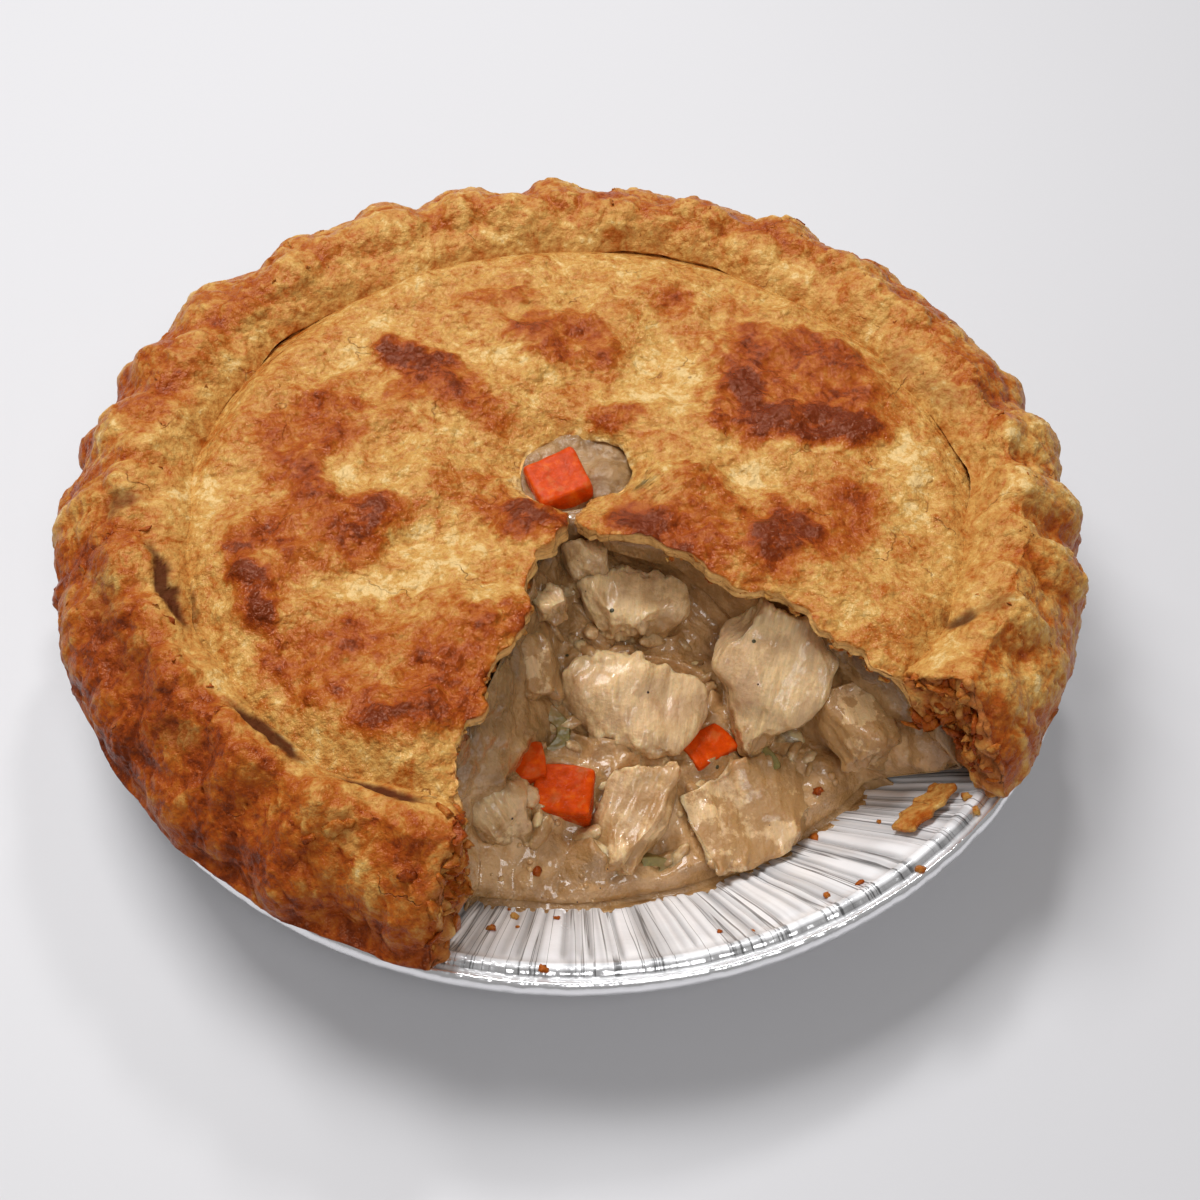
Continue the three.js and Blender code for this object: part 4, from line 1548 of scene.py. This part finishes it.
class PIE_OT_shreds(bpy.types.Operator):
    """Make the shreds of turkey that lie half sunk in the gravy"""

    bl_idname = "pie.shreds"
    bl_label = "Turkey shreds"

    def execute(self, context):
        rng = np.random.default_rng(SHRED_SEED)
        points, faces = ball(3)
        parts, grains, coats = [], [], []
        count = context.scene.pie_filling.shreds
        for at, facing in seats(count, lambda: wedge_place(rng, *SHRED_REACH), ("gravy_in_wedge",)):
            length = rng.uniform(1.6, 5)
            size = length * np.array([rng.uniform(0.35, 0.6), 1, rng.uniform(0.25, 0.45)])
            local = points * size
            local *= (1 + 0.5 * rough(local + 30 * len(parts), 0.5 * length, 171, 3))[:, None]
            parts.append((inside_tin(at - 0.25 * size[2] * facing + local @ leaning(facing, rng).T), faces))
            grains.append(local + 30 * len(parts))
            coats.append(np.full(len(points), rng.uniform(0.7, 1.3)))
        piece = joined("turkey_shreds", parts)
        note_grain(piece, np.concatenate(grains))
        note(piece, "coat", np.concatenate(coats))
        finish(piece, bpy.data.materials["turkey_meat"], "turkey")
        return {"FINISHED"}


class PIE_OT_sauce(bpy.types.Operator):
    """Make the thin sauce that has run into the tin's corner and up its wall"""

    bl_idname = "pie.sauce"
    bl_label = "Thin sauce"

    def execute(self, context):
        share = np.linspace(0, 1, 400)
        front = gravy_sheet(np.ones(400), share)
        low = np.flatnonzero(front[:, 2] < 12)
        share, front = np.linspace(0, 1, len(low)), front[low]

        def sheet(row, column):
            x, y, z = [np.interp(column, share, front[:, axis]) for axis in range(3)]
            angle = np.arctan2(y, x)
            around = np.column_stack([angle * 80, np.zeros(len(x)), np.zeros(len(x))])
            climb = 1.2 + 1.4 * rough(around, 7, 181, 3) + 0.6 * rough(around, 2, 182)
            end = ease(0, 0.1, column) * ease(1, 0.9, column)
            radius = np.hypot(x, y) - 3.5 + (3.5 + climb * end) * row
            under = np.maximum(z - 0.4, np.maximum(WALL_FOOT[1], wall_height(radius)))
            height = under + 0.8 - 0.5 * row - 1.5 * (1 - end)
            return polar(radius, angle, height)

        piece = grid_piece("thin_sauce", 34, 220, sheet)
        face_up(piece)
        apply_modifier(piece, "SOLIDIFY", thickness=0.6 * MM, offset=-1)
        finish(piece, gravy_finish("thin_sauce", strength=0.8, wet=0.9), "gravy")
        return {"FINISHED"}


def beside_cut(edge_angle, way, radius):
    """A place on a cut edge, the way along the edge and the way out into the wedge."""
    angle, ahead = edge_angle(radius), edge_angle(radius + 1.5)
    middle = radius * np.array([math.cos(angle), math.sin(angle), 0])
    along = (radius + 1.5) * np.array([math.cos(ahead), math.sin(ahead), 0]) - middle
    along /= np.linalg.norm(along)
    return middle, along, way * np.array([-along[1], along[0], 0])


def flake_of(rng, root, along, out, up, length, width):
    """A thin flake that grows from its root, ragged at its far side and curled."""
    curl, twist = rng.uniform(-0.4, 0.3), rng.uniform(-0.3, 0.3)
    grid = np.zeros((5, 4, 3))
    for i, u in enumerate(np.linspace(-0.5, 0.5, 5)):
        for j, v in enumerate(np.linspace(0, 1, 4)):
            ragged = 1 + (v == 1) * rng.uniform(-0.45, 0.3)
            reach = v * width * ragged * (1 - 0.6 * abs(u))
            rise = curl * v * v * width + twist * u * v * length + rng.uniform(-0.08, 0.08)
            grid[i, j] = root + along * u * length * (1 - 0.3 * v) + out * reach + up * rise
    return slab(grid, up * rng.uniform(0.22, 0.4))


class PIE_OT_scraps(bpy.types.Operator):
    """Make the thin flakes of pastry along both cut edges and on the rim"""

    bl_idname = "pie.scraps"
    bl_label = "Pastry flakes"

    def execute(self, context):
        crust = context.scene.pie_crust
        rng = np.random.default_rng(FLAKE_SEED)
        parts, browns = [], []
        for edge_angle, way in ((left_angle, 1), (right_angle, -1)):
            for _ in range(crust.flakes):
                spans = RIM_CUT_FLAKES if rng.random() < RIM_CUT_SHARE else LID_CUT_FLAKES
                radius, depth, brown = [rng.uniform(*span) for span in spans]
                self.add(parts, browns, brown, self.at_cut(rng, edge_angle, way, radius, depth))
        for _ in range(crust.rim_flakes):
            angle = rng.uniform(right_angle(100) + 0.03, left_angle(100) - 0.03)
            brown = 0.36 + 0.25 * front_left(angle) + rng.uniform(-0.12, 0.12)
            self.add(parts, browns, brown, self.on_rim(rng, angle))
        piece = joined("pastry_flakes", parts)
        edit(piece)
        bpy.ops.mesh.normals_make_consistent(inside=False)
        leave_edit()
        note(piece, "brown", np.concatenate(browns))
        finish(piece, bpy.data.materials["rim_pastry"], "crust")
        return {"FINISHED"}

    @staticmethod
    def add(parts, browns, brown, flake):
        if flake is not None:
            parts.append(flake)
            browns.append(np.full(len(flake[0]), brown))

    @staticmethod
    def at_cut(rng, edge_angle, way, radius, depth):
        middle, along, out = beside_cut(edge_angle, way, radius)
        found = surface((*(middle - 1.2 * out)[:2], ABOVE_ALL), DOWN, ("crust_lid", "crust_rim"))
        if found is None:
            return None
        root = middle - 0.9 * out
        root[2] = found[0][2] - depth
        size = rng.uniform(1, 2) if radius > RIM_CUT_FLAKES[0][0] else rng.uniform(0.5, 1)
        length = size * rng.uniform(1.5, 4)
        width = size * rng.uniform(0.8, 1.8)
        return flake_of(rng, root, along, out, np.array([0, 0, 1]), length, width)

    @staticmethod
    def on_rim(rng, angle):
        radius = rng.uniform(91, 113)
        start = (radius * math.cos(angle), radius * math.sin(angle), ABOVE_ALL)
        found = surface(start, DOWN, ("crust_rim",))
        if found is None:
            return None
        at, facing = found
        turned = leaning(facing, rng)
        root = at - 0.12 * facing
        length = rng.uniform(1, 4)
        width = rng.uniform(0.5, 1.8)
        return flake_of(rng, root, turned[:, 0], turned[:, 1], facing, length, width)


class PIE_OT_crumbs(bpy.types.Operator):
    """Make the crumbs of crust on the tin, on the gravy and on the rim's broken ends"""

    bl_idname = "pie.crumbs"
    bl_label = "Crumbs"

    def execute(self, context):
        rng = np.random.default_rng(CRUMB_SEED)
        points, faces = ball(2)
        parts, browns = [], []
        crust = context.scene.pie_crust

        def start():
            bearings = [rng.normal(-101, 4), rng.normal(-44, 4), rng.uniform(-100, -45)]
            angle = math.radians(rng.choice(bearings))
            radius = rng.uniform(*CRUMB_REACH)
            return radius * math.cos(angle), radius * math.sin(angle), ABOVE_ALL

        carriers = ("foil_tin", "gravy_in_wedge", "crust_rim")
        for found in seats(crust.crumbs, start, carriers, CRUMB_HIGHEST):
            size = rng.uniform(0.35, 1.3) * np.array([1, rng.uniform(0.6, 0.9), rng.uniform(0.4, 0.7)])
            parts.append((self.crumb(rng, points, size, 0.5, *found), faces))
            browns.append(np.full(len(points), rng.uniform(0.25, 0.6)))
        for edge_angle, way in ((left_angle, 1), (right_angle, -1)):
            for _ in range(crust.end_crumbs):
                middle, _, out = beside_cut(edge_angle, way, rng.uniform(*END_REACH))
                before = middle + 9 * out + np.array([0, 0, rng.uniform(*END_HEIGHTS)])
                found = surface(before, -out, ("crust_rim",))
                if found is None:
                    continue
                scale = rng.uniform(0.5, 1.1) ** 2
                size = scale * np.array([2.2, rng.uniform(0.9, 1.8), rng.uniform(0.5, 1)])
                parts.append((self.crumb(rng, points, size, 0.1, *found), faces))
                browns.append(np.full(len(points), rng.uniform(0.25, 0.75)))
        piece = joined("crust_crumbs", parts)
        note(piece, "brown", np.concatenate(browns))
        finish(piece, bpy.data.materials["rim_pastry"], "crust")
        return {"FINISHED"}

    @staticmethod
    def crumb(rng, points, size, raised, at, facing):
        """An uneven crumb on a surface, raised by a share of its height."""
        local = points * size * (1 + 0.35 * rng.uniform(-1, 1, len(points)))[:, None]
        return at + raised * size[2] * facing + local @ leaning(facing, rng).T


class PIE_OT_specks(bpy.types.Operator):
    """Make the specks of pepper and herb, and the bubbles along the gravy's edge"""

    bl_idname = "pie.specks"
    bl_label = "Specks and bubbles"

    def execute(self, context):
        filling = context.scene.pie_filling
        rng = np.random.default_rng(SPECK_SEED)
        gravy = ("gravy_in_wedge",)
        carriers = (*gravy, "meat_")
        pepper = self.scatter(rng, "pepper_specks", filling.specks, (0.12, 0.32), 0.35, carriers)
        finish(pepper, speck_finish("pepper", (0.05, 0.022, 0.01), roughness=0.5), "gravy")
        herbs = self.scatter(rng, "herb_specks", filling.specks // 4, (0.2, 0.6), 0.3, carriers)
        finish(herbs, speck_finish("herb", (0.06, 0.05, 0.012), roughness=0.4), "celery")
        bubbles = self.scatter(rng, "gravy_bubbles", filling.bubbles, (0.25, 1.0), 0.9, gravy, BUBBLE_REACH)
        finish(bubbles, bpy.data.materials["thick_gravy"], "gravy")
        return {"FINISHED"}

    @staticmethod
    def scatter(rng, name, count, sizes, flatness, carriers, reach=SPECK_REACH):
        points, faces = ball(2)
        parts = []
        for at, facing in seats(count, lambda: wedge_place(rng, *reach), carriers):
            size = rng.uniform(*sizes) * np.array([1, rng.uniform(0.7, 1), flatness])
            parts.append((at + points * size @ leaning(facing, rng).T, faces))
        return joined(name, parts)


class PIE_OT_stage(bpy.types.Operator):
    """Make the floor, the lights and the camera"""

    bl_idname = "pie.stage"
    bl_label = "Stage"

    def execute(self, context):
        scene = context.scene
        stage = scene.pie_stage
        deselect()
        bpy.ops.mesh.primitive_plane_add(size=FLOOR_SIZE, location=(0, 0, 0))
        floor = named("floor")
        floor.data.materials.append(floor_finish())
        for row in LIGHTS:
            self.light(*row)
        world = bpy.data.worlds.new("room")
        world.use_nodes = True
        background = world.node_tree.nodes["Background"]
        background.inputs["Color"].default_value = ROOM_COLOR
        background.inputs["Strength"].default_value = ROOM_STRENGTH
        scene.world = world
        scene.view_settings.view_transform = "Standard"
        self.camera(scene, stage)
        return {"FINISHED"}

    @staticmethod
    def light(name, at, size, watts):
        light = bpy.data.lights.new(name, "AREA")
        light.size = size
        light.energy = watts
        lamp = bpy.data.objects.new(name, light)
        lamp.location = at
        lamp.rotation_euler = (-Vector(at)).to_track_quat("-Z", "Y").to_euler()
        bpy.context.collection.objects.link(lamp)

    @staticmethod
    def camera(scene, stage):
        data = bpy.data.cameras.new("camera")
        data.lens = stage.lens
        data.sensor_width = SENSOR_WIDTH
        data.clip_start = NEAREST_SEEN
        camera = bpy.data.objects.new("camera", data)
        scene.collection.objects.link(camera)
        ahead = Vector((0, math.cos(stage.pitch), -math.sin(stage.pitch)))
        right = Vector((1, 0, 0))
        up = right.cross(ahead)
        across = math.cos(stage.roll) * right + math.sin(stage.roll) * up
        above = math.cos(stage.roll) * up - math.sin(stage.roll) * right
        axes = Matrix((across, above, -ahead)).transposed().to_4x4()
        camera.matrix_world = Matrix.Translation(stage.camera) @ axes
        scene.camera = camera


class PIE_PT_panel(bpy.types.Panel):
    """The pie's pieces, in the order in which they are made"""

    bl_idname = "PIE_PT_panel"
    bl_label = "Turkey pot pie"
    bl_space_type = "VIEW_3D"
    bl_region_type = "UI"
    bl_category = "Pie"

    def draw(self, context):
        for operator in OPERATORS:
            self.layout.operator(operator.bl_idname)


SETTINGS = {
    "pie_tin": TinSettings,
    "pie_crust": CrustSettings,
    "pie_filling": FillingSettings,
    "pie_stage": StageSettings,
}
OPERATORS = (
    PIE_OT_tin,
    PIE_OT_lid,
    PIE_OT_rim,
    PIE_OT_flake,
    PIE_OT_gravy,
    PIE_OT_turkey,
    PIE_OT_carrot,
    PIE_OT_celery,
    PIE_OT_sauce,
    PIE_OT_shreds,
    PIE_OT_scraps,
    PIE_OT_crumbs,
    PIE_OT_specks,
    PIE_OT_stage,
)


def register():
    for made in (*SETTINGS.values(), *OPERATORS, PIE_PT_panel):
        bpy.utils.register_class(made)
    for name, group in SETTINGS.items():
        setattr(bpy.types.Scene, name, PointerProperty(type=group))


def unregister():
    for name in SETTINGS:
        delattr(bpy.types.Scene, name)
    for made in (PIE_PT_panel, *reversed(OPERATORS), *reversed(SETTINGS.values())):
        bpy.utils.unregister_class(made)


def main():
    register()
    bpy.ops.pie.tin()
    bpy.ops.pie.lid()
    bpy.ops.pie.rim()
    bpy.ops.pie.flake()
    bpy.ops.pie.gravy()
    bpy.ops.pie.turkey()
    bpy.ops.pie.carrot()
    bpy.ops.pie.celery()
    bpy.ops.pie.sauce()
    bpy.ops.pie.shreds()
    bpy.ops.pie.scraps()
    bpy.ops.pie.crumbs()
    bpy.ops.pie.specks()
    bpy.ops.pie.stage()


if __name__ == "__main__":
    main()
